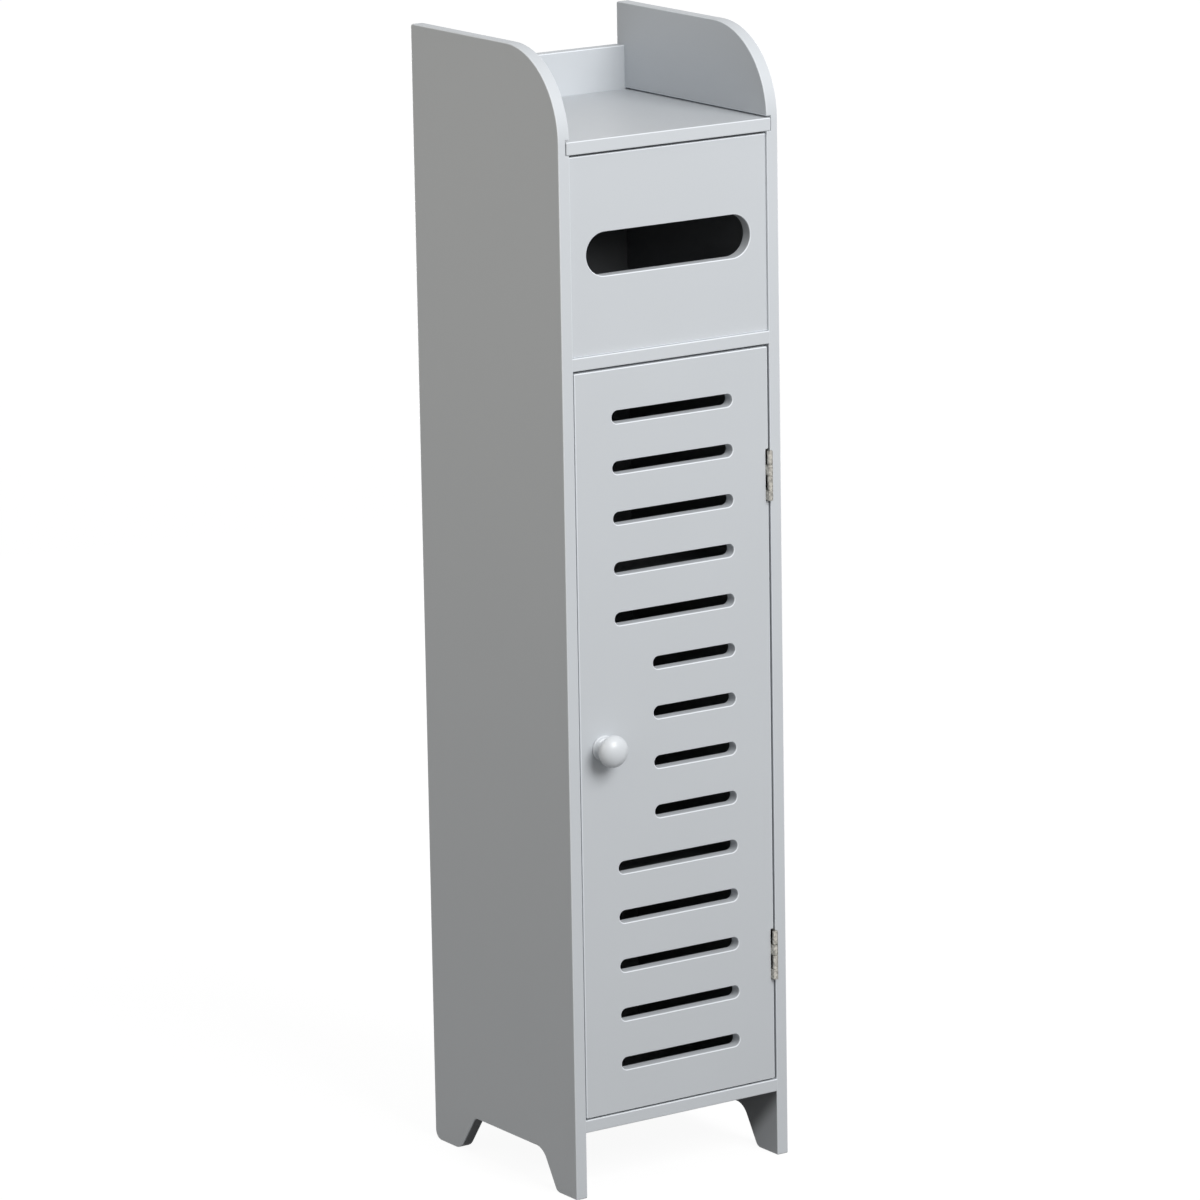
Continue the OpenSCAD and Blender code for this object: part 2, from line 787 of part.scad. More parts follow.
side_panel_left();
side_panel_right();
bottom_board();
divider_board();
shelf_lower();
shelf_upper();
back_board();
front_panel();
sliding_lid();
door();
knob();
knob_screw();
hinge_upper_frame_leaf();
hinge_upper_door_leaf();
hinge_upper_pin();
hinge_lower_frame_leaf();
hinge_lower_door_leaf();
hinge_lower_pin();
hinge_frame_screws();
hinge_door_screws();
catch_body();
catch_magnet();
catch_pole_plates();
catch_screws();
strike_plate();
strike_screws();
bottom_dowels();
divider_dowels();
shelf_dowels();
front_panel_dowels();
back_dowels();
back_screws();
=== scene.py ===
"""Narrow toilet roll cabinet: its boards, door, knob, hinges and catch, finished for a studio picture.

Every piece is worked out here in metres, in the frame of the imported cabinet: +Z is up, the front
faces -Y, and the origin is on the floor. A board is an outline carried from one of its faces to the
other round eased edges, a knob or a pin is a profile turned about an axis, and a rolled knuckle is a
strip of metal bent round the pin.
"""

import math
from collections import namedtuple

import bpy
import numpy as np
from mathutils import Matrix
from mathutils import Vector
from mathutils.geometry import tessellate_polygon


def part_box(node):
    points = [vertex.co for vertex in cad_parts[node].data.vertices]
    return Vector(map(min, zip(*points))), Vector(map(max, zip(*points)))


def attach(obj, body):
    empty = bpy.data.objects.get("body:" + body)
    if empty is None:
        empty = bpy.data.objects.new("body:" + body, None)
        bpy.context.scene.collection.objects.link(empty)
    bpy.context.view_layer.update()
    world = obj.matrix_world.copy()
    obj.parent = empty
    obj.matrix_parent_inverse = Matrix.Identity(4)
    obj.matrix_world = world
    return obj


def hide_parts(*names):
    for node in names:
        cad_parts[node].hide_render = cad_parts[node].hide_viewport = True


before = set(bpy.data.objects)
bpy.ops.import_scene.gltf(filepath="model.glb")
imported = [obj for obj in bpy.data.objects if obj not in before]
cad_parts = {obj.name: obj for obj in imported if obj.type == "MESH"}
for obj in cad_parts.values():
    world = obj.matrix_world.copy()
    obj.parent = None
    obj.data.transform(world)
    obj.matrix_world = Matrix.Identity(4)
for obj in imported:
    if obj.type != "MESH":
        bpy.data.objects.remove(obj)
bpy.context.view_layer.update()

bl_info = {
    "name": "Narrow toilet roll cabinet",
    "version": (1, 0, 0),
    "blender": (4, 5, 0),
    "location": "3D View > Sidebar > Cabinet",
    "description": "Builds the finished pieces of a narrow toilet roll cabinet and its stage",
    "category": "Object",
}

MM = 0.001

# Axes that a board's outline and thickness (u, v, w) run along
LEVEL = (0, 1, 2)
FACING_SIDE = (1, 2, 0)
FACING_FRONT = (0, 2, 1)

# Facets across an eased edge
EASE_STEPS = 4

# Rounding of the edges of stamped steel
STAMPED = 0.15 * MM

# Range that a noise texture's values mostly keep to
NOISE_RANGE = {"From Min": 0.3, "From Max": 0.7}


# ---- Values ----


def linear(code):
    """Linear colour of an sRGB hex code: c / 12.92 up to 0.04045, else ((c + 0.055) / 1.055) ** 2.4."""
    srgb = np.array([int(code[i:i + 2], 16) for i in (1, 3, 5)]) / 255
    return (*np.where(srgb <= 0.04045, srgb / 12.92, ((srgb + 0.055) / 1.055) ** 2.4), 1.0)


def length(name, description, default):
    """Property for a length, whose default is given in millimetres."""
    return bpy.props.FloatProperty(
        name=name, description=description, default=default * MM, precision=5,
        unit="LENGTH", subtype="DISTANCE"
    )


def degrees(name, description, default):
    """Property for an angle, whose default is given in degrees."""
    return bpy.props.FloatProperty(
        name=name, description=description, default=math.radians(default), unit="ROTATION"
    )


def amount(name, description, default):
    """Property for a plain number."""
    return bpy.props.FloatProperty(name=name, description=description, default=default)


def colour(name, description, default):
    """Property for a colour, whose default is an sRGB hex code."""
    return bpy.props.FloatVectorProperty(
        name=name, description=description, default=linear(default), size=4, min=0, max=1, subtype="COLOR"
    )


class CabinetBoards(bpy.types.PropertyGroup):
    """Edges of all boards, and the outline and groove of the side panels."""

    ease: length("Eased edge", "Radius of the sanded edges of the boards", 0.8)
    corner: length("Corner", "Radius of the boards' square corners, a little more than the eased edge", 0.95)
    top_r: length("Top radius", "Radius of the side panels' front top corner", 62)
    rear_top_r: length("Rear top radius", "Radius of the side panels' rear top corner", 2)
    arch_h: length("Arch height", "Height of the cut-out between the feet", 27.5)
    foot_front: length("Front foot", "Length of the front foot on the floor", 25)
    foot_back: length("Back foot", "Length of the back foot on the floor", 32)
    lean_front: length("Front lean", "How far the cut-out's front end leans back", 17)
    lean_back: length("Back lean", "How far the cut-out's back end leans forward", 20)
    arch_r_front: length("Front arch radius", "Rounding at the top of the cut-out's front end", 14)
    arch_r_back: length("Back arch radius", "Rounding at the top of the cut-out's back end", 6)
    toe_r: length("Toe radius", "Rounding of the front foot's inner corner", 6)
    heel_r: length("Heel radius", "Rounding of the back foot's inner corner", 12)
    tail_r: length("Tail radius", "Rounding of the back foot's outer corner", 7)
    groove_deep: length("Groove depth", "Depth of the lid's groove in the side panels", 3.5)
    groove_h: length("Groove height", "Height of the lid's groove", 10)
    housing: length("Housing", "How far the fixed boards' ends reach into the side panels", 0.9)
    planed: length("Planed", "What is planed off the door's top and hinged edge and the bay front's top", 0.3)


class CabinetOpenings(bpy.types.PropertyGroup):
    """The paper slot and the slots of the door."""

    paper_w: length("Paper slot length", "Length of the slot that paper is drawn through", 135)
    paper_h: length("Paper slot height", "Height of the slot that paper is drawn through", 30)
    slot_h: length("Slot height", "Height of each slot in the door", 9)
    pitch: length("Slot pitch", "Distance from one slot in the door to the next", 35.1)
    margin: length("Slot margin", "Distance from the unplaned door's edges to the slots' ends", 30.2)
    shorter: length("Shortening", "How much shorter the slots beside the knob are", 31)
    reach: length("Short slot reach", "Distance from the knob's height in which slots are short", 70)
    count: bpy.props.IntProperty(name="Slots", description="Number of slots in the door", default=14, min=1)


class CabinetKnob(bpy.types.PropertyGroup):
    """The knob."""

    foot_d: length("Foot diameter", "Diameter of the knob's foot", 18)
    foot_t: length("Foot thickness", "Thickness of the knob's foot", 1.8)
    neck_d: length("Neck diameter", "Diameter of the knob's neck", 10)
    head_d: length("Head diameter", "Diameter of the knob's head", 22.5)
    neck_at: length("Neck distance", "Distance from the door to the narrowest part of the neck", 5.5)
    head_at: length("Head distance", "Distance from the door to the widest part of the head", 12.5)
    under: length("Underside", "Depth of the rounding under the head", 3)
    dome: length("Dome", "Height of the dome beyond the widest part", 7.5)
    edge_r: length("Edge radius", "Radius of the foot's edge", 1)


class CabinetHinges(bpy.types.PropertyGroup):
    """The two butt hinges."""

    height: length("Height", "Height of each hinge", 35)
    barrel_d: length("Barrel", "Diameter of the barrel", 3.8)
    pin_d: length("Pin", "Diameter of the pin", 1.96)
    leaf_t: length("Leaf", "Thickness of the leaves", 0.9)
    reach: length("Reach", "Reach of each leaf from the pin's axis", 10.2)
    leaf_start: length("Leaf start", "Distance from the axis to the plate beside the other knuckles", 3.5)
    screw_reach: length("Screw reach", "Distance from the pin's axis to the leaves' screws", 6.2)
    frame_knuckle: length("Frame knuckle", "Height of each knuckle on the frame's leaf", 9.6)
    door_knuckle: length("Door knuckle", "Height of each knuckle on the door's leaf", 7.3)
    gap: length("Gap", "Gap between neighbouring knuckles", 0.4)
    corner: length("Leaf corner", "Radius of the leaves' free corners", 1.4)
    screw_gap: length("Screws", "Distance between a leaf's two screws", 20)
    screw_hole_d: length("Screw hole", "Diameter of the countersunk holes at the leaf's face", 4.3)
    notch: length("Notch", "Depth of the notch in the door's edge", 2.5)
    notch_gap: length("Notch gap", "Gap above and below a hinge in the door's notch", 0.9)


class CabinetCatch(bpy.types.PropertyGroup):
    """The magnetic catch under the divider, and the screws' places in the back board."""

    ear: length("Ear", "Length of the ears at each side of the case", 6)
    ear_t: length("Ear thickness", "Thickness of the ears", 3)
    cheek: length("Cheek", "Thickness of the case beside the pocket", 1.6)
    floor: length("Case floor", "Thickness of the case under the pocket", 2)
    pocket_h: length("Pocket height", "Height of the pocket for the magnet and its plates", 8)
    pocket_deep: length("Pocket depth", "Depth of the pocket from the front", 11)
    strike_hole: length("Strike holes", "Distance of the strike plate's screws from its middle", 13.8)
    back_screw_d: length("Back screw holes", "Diameter of the countersunk holes in the back board", 6.1)
    back_screw_x: length("Back screws", "Distance of the back board's screws from its middle", 50.22)


class CabinetFinishes(bpy.types.PropertyGroup):
    """Colours of the finishes."""

    lacquer: colour("Lacquer", "Pale grey satin lacquer of the boards", "#C9CDD1")
    # Colour of the painted shade inside the carcass and between the feet
    inside_shade: colour("Lining", "Grey primer of the inside", "#7E8083")
    knob: colour("Knob", "White ABS of the knob", "#D6DADE")
    nickel: colour("Nickel", "Satin nickel plate of the hinges", "#C6C3BB")
    zinc: colour("Zinc", "Zinc plate of the screws and steel plates", "#C6C9C9")
    beech: colour("Beech", "Beech of the dowels", "#D9B98E")
    case: colour("Catch case", "Moulded polypropylene of the catch", "#E4E3DF")
    ferrite: colour("Ferrite", "Sintered ferrite of the magnet", "#343436")


class CabinetStage(bpy.types.PropertyGroup):
    """Camera, lights and floor."""

    camera_at: bpy.props.FloatVectorProperty(
        name="Camera", description="Place of the camera", default=(-2.55226, -3.77199, 1.45158),
        size=3, subtype="TRANSLATION"
    )
    azimuth: degrees("Azimuth", "Turn of the camera's view from +Y to +X", 33.995)
    elevation: degrees("Elevation", "Dip of the camera's view", 13.011)
    roll: degrees("Roll", "Roll of the camera", 0.954)
    lens: amount("Lens", "Focal length in millimetres", 201.692)
    key_watts: amount("Key", "Power of the large soft lamp", 46)
    fill_watts: amount("Fill", "Power of the small lamp at the left", 0.86)
    warm: colour("Warm", "Warm light of the small lamp at the left", "#FFF4DE")
    rear_watts: amount("Rear", "Power of the lamp behind", 12)
    sky: amount("Sky", "Strength of the room's even light", 0.42)
    floor: colour("Floor", "Paper of the floor, under the glow that makes it white", "#5E5E5E")


# ---- Shapes ----

# Closed surface: points, the point of each face corner, corners per face, a normal for each corner,
# and a value for each corner that is 0 on a board's faces and 1 on its sawn edges
Shell = namedtuple("Shell", "points corners sizes normals edge")


def joined(*shells):
    """One shell of several: their arrays end to end, with point numbers moved on by the points before."""
    starts = np.cumsum([0] + [len(shell.points) for shell in shells])
    corners = [shell.corners + start for shell, start in zip(shells, starts)]
    return Shell(
        np.concatenate([shell.points for shell in shells]),
        np.concatenate(corners),
        np.concatenate([shell.sizes for shell in shells]),
        np.concatenate([shell.normals for shell in shells]),
        np.concatenate([shell.edge for shell in shells]),
    )


def placed(shell, place):
    """The shell under a 4x4 place: points times the whole matrix, normals times its turn. Under a mirror
    image all arrays of corners are read backwards, so that faces still point out."""
    turn = np.array(place)[:3, :3]
    points = shell.points @ turn.T + np.array(place)[:3, 3]
    normals = shell.normals @ turn.T
    order = slice(None, None, -1 if np.linalg.det(turn) < 0 else 1)
    return Shell(points, shell.corners[order], shell.sizes[order], normals[order], shell.edge[order])


def arcs(corners, steps):
    """Arcs at the corners (u, v, radius) of a closed path: points and outward normals, by corner.

    Where the path turns by t, the arc starts radius * tan(|t| / 2) before the corner. Its normal starts at
    right angles to the path, on its right, and turns evenly by t, and its points are centre plus normal
    times radius, or minus where the path turns right.
    """
    path = np.array(corners, float)
    at = path[:, :2]
    radius = path[:, 2:]
    after = np.roll(at, -1, 0) - at
    after /= np.linalg.norm(after, axis=1, keepdims=True)
    before = np.roll(after, 1, 0)
    cross = before[:, 0] * after[:, 1] - before[:, 1] * after[:, 0]
    turn = np.arctan2(cross, (before * after).sum(1))[:, None]
    reach = radius * np.sign(turn)
    first = np.stack([before[:, 1], -before[:, 0]], 1)
    centre = at - before * radius * np.tan(np.abs(turn) / 2) - first * reach
    angle = turn * np.linspace(0, 1, steps + 1)
    across = np.cos(angle)
    along = np.sin(angle)
    normals = np.stack(
        [across * first[:, :1] - along * first[:, 1:], along * first[:, :1] + across * first[:, 1:]], -1
    )
    return centre[:, None] + normals * reach[:, :, None], normals


def closed(points, normals):
    """Flat arrays of a closed path, without points that lie on the next one."""
    least = 1e-8
    points = points.reshape(-1, 2)
    apart = np.linalg.norm(np.roll(points, -1, 0) - points, axis=1) > least
    return points[apart], normals.reshape(-1, 2)[apart]


def outline(corners, steps=10):
    """Closed path with rounded corners: anticlockwise for the edge of a board, clockwise for a hole."""
    return closed(*arcs(corners, steps))


def rectangle(low, high, radius):
    """Corners of an upright rectangle, anticlockwise."""
    u0, v0 = low
    u1, v1 = high
    return [(u0, v0, radius), (u1, v0, radius), (u1, v1, radius), (u0, v1, radius)]


def round_slot(u0, u1, v, height, steps=14):
    """Hole with half-round ends: a clockwise rectangle whose corners have half its height as radius."""
    half = height / 2
    return outline(rectangle((u0, v - half), (u1, v + half), half)[::-1], steps)


def round_hole(u, v, diameter, steps=10):
    """Round hole, as a slot that is as long as it is high."""
    return round_slot(u - diameter / 2, u + diameter / 2, v, diameter, steps)


def strip(path, normals, half, steps=6):
    """Outline of a strip of even thickness with round ends: the path moved out by half the thickness, a
    half circle round its end, the path moved in and read backwards, and a half circle round its start."""
    angle = np.linspace(0, np.pi, steps + 1)[1:-1, None]
    end = np.stack([-normals[-1, 1], normals[-1, 0]])
    start = np.stack([normals[0, 1], -normals[0, 0]])
    round_end = normals[-1] * np.cos(angle) + end * np.sin(angle)
    round_start = -normals[0] * np.cos(angle) + start * np.sin(angle)
    out = np.concatenate([normals, round_end, -normals[::-1], round_start])
    middle = np.concatenate(
        [path, np.repeat(path[-1:], len(angle), 0), path[::-1], np.repeat(path[:1], len(angle), 0)]
    )
    return middle + out * half, out


def board(loops, low, high, axes, ease):
    """Closed board: outlines carried from w = low to w = high, with each face's edges eased to a radius.

    An eased edge is a quarter circle, by the angle a from the face: the outline moves in by
    radius * (1 - sin a), w moves from the face by radius * (1 - cos a), and the normal is the outline's
    times sin a plus the face's times cos a. The faces are flat and filled between the outlines.
    """
    angle = np.linspace(0, np.pi / 2, EASE_STEPS + 1)
    under = angle if ease[0] else angle[-1:]
    over = angle[::-1] if ease[1] else angle[-1:]
    inset = np.r_[ease[0] * (1 - np.sin(under)), ease[1] * (1 - np.sin(over))]
    height = np.r_[low + ease[0] * (1 - np.cos(under)), high - ease[1] * (1 - np.cos(over))]
    outward = np.r_[np.sin(under), np.sin(over)]
    upward = np.r_[-np.cos(under), np.cos(over)]
    rings = len(inset)
    points = []
    walls = []
    wall_normals = []
    faces = []
    base = 0
    for rim, rim_normals in loops:
        count = len(rim)
        flat = rim[None] - rim_normals[None] * inset[:, None, None]
        tall = np.broadcast_to(height[:, None, None], (rings, count, 1))
        points.append(np.concatenate([flat, tall], 2).reshape(-1, 3))
        slope = np.broadcast_to(upward[:, None, None], (rings, count, 1))
        normals = np.concatenate([rim_normals[None] * outward[:, None, None], slope], 2).reshape(-1, 3)
        column = np.arange(count)
        row = np.arange(rings - 1)[:, None] * count
        here = row + column
        beside = row + (column + 1) % count
        quads = np.stack([here, beside, beside + count, here + count], -1).reshape(-1)
        walls.append(quads + base)
        wall_normals.append(normals[quads])
        faces.append((base + column, base + (rings - 1) * count + column))
        base += rings * count
    points = np.concatenate(points)
    bottom, top = (np.concatenate(side) for side in zip(*faces))
    rims = np.split(points[bottom], np.cumsum([len(rim) for rim, _ in loops])[:-1])
    filled = np.array(tessellate_polygon([[Vector((u, v, 0)) for u, v, _ in rim] for rim in rims]))
    a, b, c = (points[bottom[filled[:, i]], :2] for i in range(3))
    clockwise = (b[:, 0] - a[:, 0]) * (c[:, 1] - a[:, 1]) < (b[:, 1] - a[:, 1]) * (c[:, 0] - a[:, 0])
    filled[clockwise] = filled[clockwise, ::-1]
    up = np.tile([0.0, 0.0, 1.0], (filled.size, 1))
    corners = np.concatenate([*walls, bottom[filled[:, ::-1]].reshape(-1), top[filled].reshape(-1)])
    normals = np.concatenate([*wall_normals, -up, up])
    sizes = np.r_[np.full(sum(len(wall) for wall in walls) // 4, 4), np.full(2 * len(filled), 3)]
    shell = Shell(points, corners, sizes, normals, np.linalg.norm(normals[:, :2], axis=1))
    order = np.zeros((4, 4))
    order[axes, (0, 1, 2)] = 1
    order[3, 3] = 1
    return placed(shell, order)


def turned(profile, columns=48):
    """Closed solid turned about Z from a profile (radius, height) that starts and ends on the axis.

    Its points are (radius cos t, radius sin t, height). A normal is at right angles to the profile's
    central difference: (dheight cos t, dheight sin t, -dradius).
    """
    slope = np.gradient(profile, axis=0)
    slope /= np.linalg.norm(slope, axis=1, keepdims=True)
    t = np.linspace(0, 2 * np.pi, columns, endpoint=False)
    ring = np.stack([np.cos(t), np.sin(t)], -1)[None]
    inner = profile[1:-1]
    wide = inner[:, None, :1] * ring
    tall = np.broadcast_to(inner[:, None, 1:], (len(inner), columns, 1))
    lean = slope[1:-1]
    normal_wide = lean[:, None, 1:] * ring
    normal_tall = np.broadcast_to(-lean[:, None, :1], (len(inner), columns, 1))
    poles = np.array([[0, 0, profile[0, 1]], [0, 0, profile[-1, 1]]])
    points = np.concatenate([np.concatenate([wide, tall], 2).reshape(-1, 3), poles])
    around = np.concatenate([normal_wide, normal_tall], 2).reshape(-1, 3)
    normals = np.concatenate([around, [[0, 0, -1], [0, 0, 1]]])
    column = np.arange(columns)
    beside = (column + 1) % columns
    row = np.arange(len(inner) - 1)[:, None] * columns
    here = row + column
    aside = row + beside
    quads = np.stack([here, aside, aside + columns, here + columns], -1).reshape(-1)
    last = (len(inner) - 1) * columns
    foot = np.stack([beside, column, np.full(columns, len(points) - 2)], -1).reshape(-1)
    head = np.stack([last + column, last + beside, np.full(columns, len(points) - 1)], -1).reshape(-1)
    corners = np.concatenate([quads, foot, head])
    sizes = np.r_[np.full(len(quads) // 4, 4), np.full(2 * columns, 3)]
    return Shell(points, corners, sizes, normals[corners], np.zeros(len(corners)))


def quarter(centre, radii, start, stop, steps=12):
    """Arc of an ellipse in a profile: centre plus (radii[0] cos a, radii[1] sin a), with the angle a from
    start to stop degrees."""
    a = np.radians(np.linspace(start, stop, steps + 1))
    return np.stack([centre[0] + radii[0] * np.cos(a), centre[1] + radii[1] * np.sin(a)], -1)


def piece(name, shell, body, nodes, material):
    """Object with the shell's mesh, in place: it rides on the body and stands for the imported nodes."""
    mesh = bpy.data.meshes.new(name)
    mesh.vertices.add(len(shell.points))
    mesh.loops.add(len(shell.corners))
    mesh.polygons.add(len(shell.sizes))
    mesh.vertices.foreach_set("co", shell.points.astype(np.float32).ravel())
    mesh.loops.foreach_set("vertex_index", shell.corners.astype(np.int32))
    mesh.polygons.foreach_set("loop_start", np.r_[0, np.cumsum(shell.sizes)[:-1]].astype(np.int32))
    mesh.update(calc_edges=True)
    mesh.polygons.foreach_set("use_smooth", np.ones(len(shell.sizes), bool))
    mesh.normals_split_custom_set(shell.normals.tolist())
    edge = mesh.attributes.new("edge", "FLOAT", "CORNER")
    edge.data.foreach_set("value", shell.edge.astype(np.float32))
    mesh.materials.append(material)
    made = bpy.data.objects.new(name, mesh)
    bpy.context.scene.collection.objects.link(made)
    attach(made, body)
    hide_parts(*nodes)


# ---- Finishes ----


def feed(tree, node, links):
    """Links sources to the node's inputs, by name or number. A whole node stands for its first output."""
    for key, source in links.items():
        output = source.outputs[0] if hasattr(source, "outputs") else source
        tree.links.new(output, node.inputs[key])


def add_node(tree, kind, settings=None, links=None):
    """Adds a shader node of that kind. settings holds its attributes and its inputs' values, and links the
    sources that feed its inputs, with inputs by name or number."""
    node = tree.nodes.new("ShaderNode" + kind)
    for key, value in (settings or {}).items():
        if isinstance(key, str) and hasattr(node, key):
            setattr(node, key, value)
        else:
            node.inputs[key].default_value = value
    feed(tree, node, links or {})
    return node


def finish(name, settings):
    """New material of that name: its tree and its surface shader, with the settings on the shader."""
    material = bpy.data.materials.new(name)
    material.use_nodes = True
    tree = material.node_tree
    shader = tree.nodes["Principled BSDF"]
    for key, value in settings.items():
        shader.inputs[key].default_value = value
    return material, tree, shader


def sprayed_lacquer(name, colours, lined):
    """Satin nitrocellulose lacquer sprayed on primed MDF: an even pale skin with a faint orange peel about
    2 mm across, a soft sheen that drifts over a hand's width, and sawn edges that stay a little rougher.
    The sawn edges are painted a little paler, and each eased edge a still paler line: painted highlights.
    A board with the inside shaded has matt grey painted shade inside the carcass and between the feet."""
    gloss = 0.45
    matt = 0.10
    edge_highlight = 0.03
    rim_highlight = 1.7
    rougher_edge = 0.10
    fuzzy_edge = 0.6
    material, tree, shader = finish(name, {"IOR": 1.48, "Specular IOR Level": gloss})
    place = add_node(tree, "TexCoord").outputs["Object"]
    edge = add_node(tree, "Attribute", {"attribute_name": "edge"}).outputs["Fac"]
    peel = add_node(tree, "TexNoise", {"Scale": 1 / (2.2 * MM), "Detail": 1.5}, {"Vector": place})
    fuzz = add_node(tree, "TexNoise", {"Scale": 1 / (0.5 * MM), "Detail": 2.0}, {"Vector": place})
    drift = add_node(tree, "TexNoise", {"Scale": 1 / (90 * MM), "Detail": 3.0}, {"Vector": place})
    tone = add_node(tree, "MapRange", {**NOISE_RANGE, "To Min": 0.985, "To Max": 1.0}, {"Value": drift})
    # Painted highlight: sawn edges painted paler, and a still paler line along the middle of each eased edge
    sawn = add_node(tree, "Math", {"operation": "MULTIPLY_ADD", 1: edge_highlight}, {0: edge, 2: tone})
    rest = add_node(tree, "Math", {"operation": "SUBTRACT", 0: 1.0}, {1: edge})
    rim = add_node(tree, "Math", {"operation": "MULTIPLY"}, {0: edge, 1: rest})
    highlighted_tone = add_node(tree, "Math", {"operation": "MULTIPLY_ADD", 1: rim_highlight}, {0: rim, 2: sawn})
    tint = add_node(tree, "VectorMath", {"operation": "SCALE", 0: colours.lacquer[:3]}, {"Scale": highlighted_tone})
    # Painted shade inside the carcass: matt grey in place of the lacquer
    if lined:
        shade_share = painted_inside_shade(tree, place)
        tint = add_node(tree, "Mix", {"data_type": "RGBA", 7: colours.inside_shade}, {0: shade_share, 6: tint}).outputs[2]
        dull = add_node(tree, "Math", {"operation": "MULTIPLY_ADD", 1: matt - gloss, 2: gloss}, {0: shade_share})
        feed(tree, shader, {"Specular IOR Level": dull})
    sheen = add_node(tree, "MapRange", {**NOISE_RANGE, "To Min": 0.36, "To Max": 0.44}, {"Value": drift})
    rough = add_node(tree, "Math", {"operation": "MULTIPLY_ADD", 1: rougher_edge}, {0: edge, 2: sheen})
    grain = add_node(tree, "Math", {"operation": "MULTIPLY"}, {0: edge, 1: fuzz})
    relief = add_node(tree, "Math", {"operation": "MULTIPLY_ADD", 1: fuzzy_edge}, {0: grain, 2: peel})
    bump = add_node(tree, "Bump", {"Strength": 0.5, "Distance": 0.03 * MM}, {"Height": relief})
    feed(tree, shader, {"Base Color": tint, "Roughness": rough, "Normal": bump})
    return material


def all_of(tree, tests):
    """1 where every comparison (operation, value, limit) holds, else 0: their product."""
    mask = None
    for operation, value, limit in tests:
        test = add_node(tree, "Math", {"operation": operation, 1: limit}, {0: value})
        if mask is not None:
            test = add_node(tree, "Math", {"operation": "MULTIPLY"}, {0: mask, 1: test})
        mask = test
    return mask


def painted_inside_shade(tree, place):
    """Share of painted shade: 1 on faces in the box that the carcass encloses behind its door and under
    its lid, each side of it a little past the board's face. Below it, on the feet's inner faces and
    cut-outs, the painted shade grows from 0 to 1 with the depth behind the front plus the height. The
    panels' outer faces and their front and back edges stay lacquered."""
    past = 0.2 * MM
    skin = 1 * MM
    fade_start = 30 * MM
    fade_end = 50 * MM
    panel_low, panel_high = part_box("side_panel_right")
    bottom_low, bottom_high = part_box("bottom_board")
    x, y, z = add_node(tree, "SeparateXYZ", links={0: place}).outputs
    width = add_node(tree, "Math", {"operation": "ABSOLUTE"}, {0: x})
    inside = all_of(tree, [
        ("LESS_THAN", width, panel_low.x + past),
        ("GREATER_THAN", y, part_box("door")[1].y + past),
        ("LESS_THAN", y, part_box("back_board")[0].y + past),
        ("GREATER_THAN", z, bottom_high.z - past),
        ("LESS_THAN", z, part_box("sliding_lid")[0].z + past)
    ])
    # Painted shade between the feet under the bottom board, deepening towards the back and towards the board
    under = all_of(tree, [
        ("LESS_THAN", width, panel_high.x - skin),
        ("LESS_THAN", z, bottom_low.z + past),
        ("GREATER_THAN", y, panel_low.y + skin),
        ("LESS_THAN", y, panel_high.y - skin)
    ])
    reach = add_node(tree, "Math", {"operation": "ADD"}, {0: y, 1: z})
    fade = add_node(tree, "MapRange", {
        "interpolation_type": "SMOOTHSTEP",
        "From Min": panel_low.y + fade_start, "From Max": panel_low.y + fade_end
    }, {"Value": reach})
    return add_node(tree, "Math", {"operation": "MULTIPLY_ADD"}, {0: under, 1: fade, 2: inside})


def glossy_moulding(colours):
    """White ABS moulded in a tool that has lost its polish: a soft gloss under a thin sharper one, with a
    slow waviness about 5 mm across, where the plastic sank as it cooled, that bends its reflections."""
    material, tree, shader = finish("white_glossy_moulded_abs", {
        "Base Color": colours.knob, "Roughness": 0.42, "IOR": 1.54, "Coat Weight": 0.3, "Coat Roughness": 0.12
    })
    place = add_node(tree, "TexCoord").outputs["Object"]
    wave = add_node(tree, "TexNoise", {"Scale": 1 / (5 * MM), "Detail": 1.0}, {"Vector": place})
    bump = add_node(tree, "Bump", {"Strength": 0.4, "Distance": 0.03 * MM}, {"Height": wave})
    feed(tree, shader, {"Normal": bump})
    return material


def brushed_metal(name, tint, roughness, scratch):
    """Plated steel, brushed along its height before plating: fine scratches that are scratch wide and fifty
    times as long, which spread its highlights sideways, and tarnish in blotches about 2 mm across."""
    material, tree, shader = finish(name, {"Metallic": 1.0, "Anisotropic": 0.4})
    place = add_node(tree, "TexCoord").outputs["Object"]
    drawn = add_node(tree, "Mapping", {"Scale": (1, 1, 1 / 50)}, {"Vector": place})
    lines = add_node(tree, "TexNoise", {"Scale": 1 / scratch, "Detail": 2.0}, {"Vector": drawn})
    cloud = add_node(tree, "TexNoise", {"Scale": 1 / (2 * MM), "Detail": 2.0}, {"Vector": place})
    blotches = {"From Min": 0.38, "From Max": 0.62, "To Min": 0.5, "To Max": 1.0}
    shade = add_node(tree, "MapRange", blotches, {"Value": cloud})
    skin = add_node(tree, "VectorMath", {"operation": "SCALE", 0: tint[:3]}, {"Scale": shade})
    worn = {**NOISE_RANGE, "To Min": roughness - 0.05, "To Max": roughness + 0.08}
    rough = add_node(tree, "MapRange", worn, {"Value": lines})
    bump = add_node(tree, "Bump", {"Strength": 0.5, "Distance": 0.01 * MM}, {"Height": lines})
    feed(tree, shader, {"Base Color": skin, "Roughness": rough, "Normal": bump})
    return material


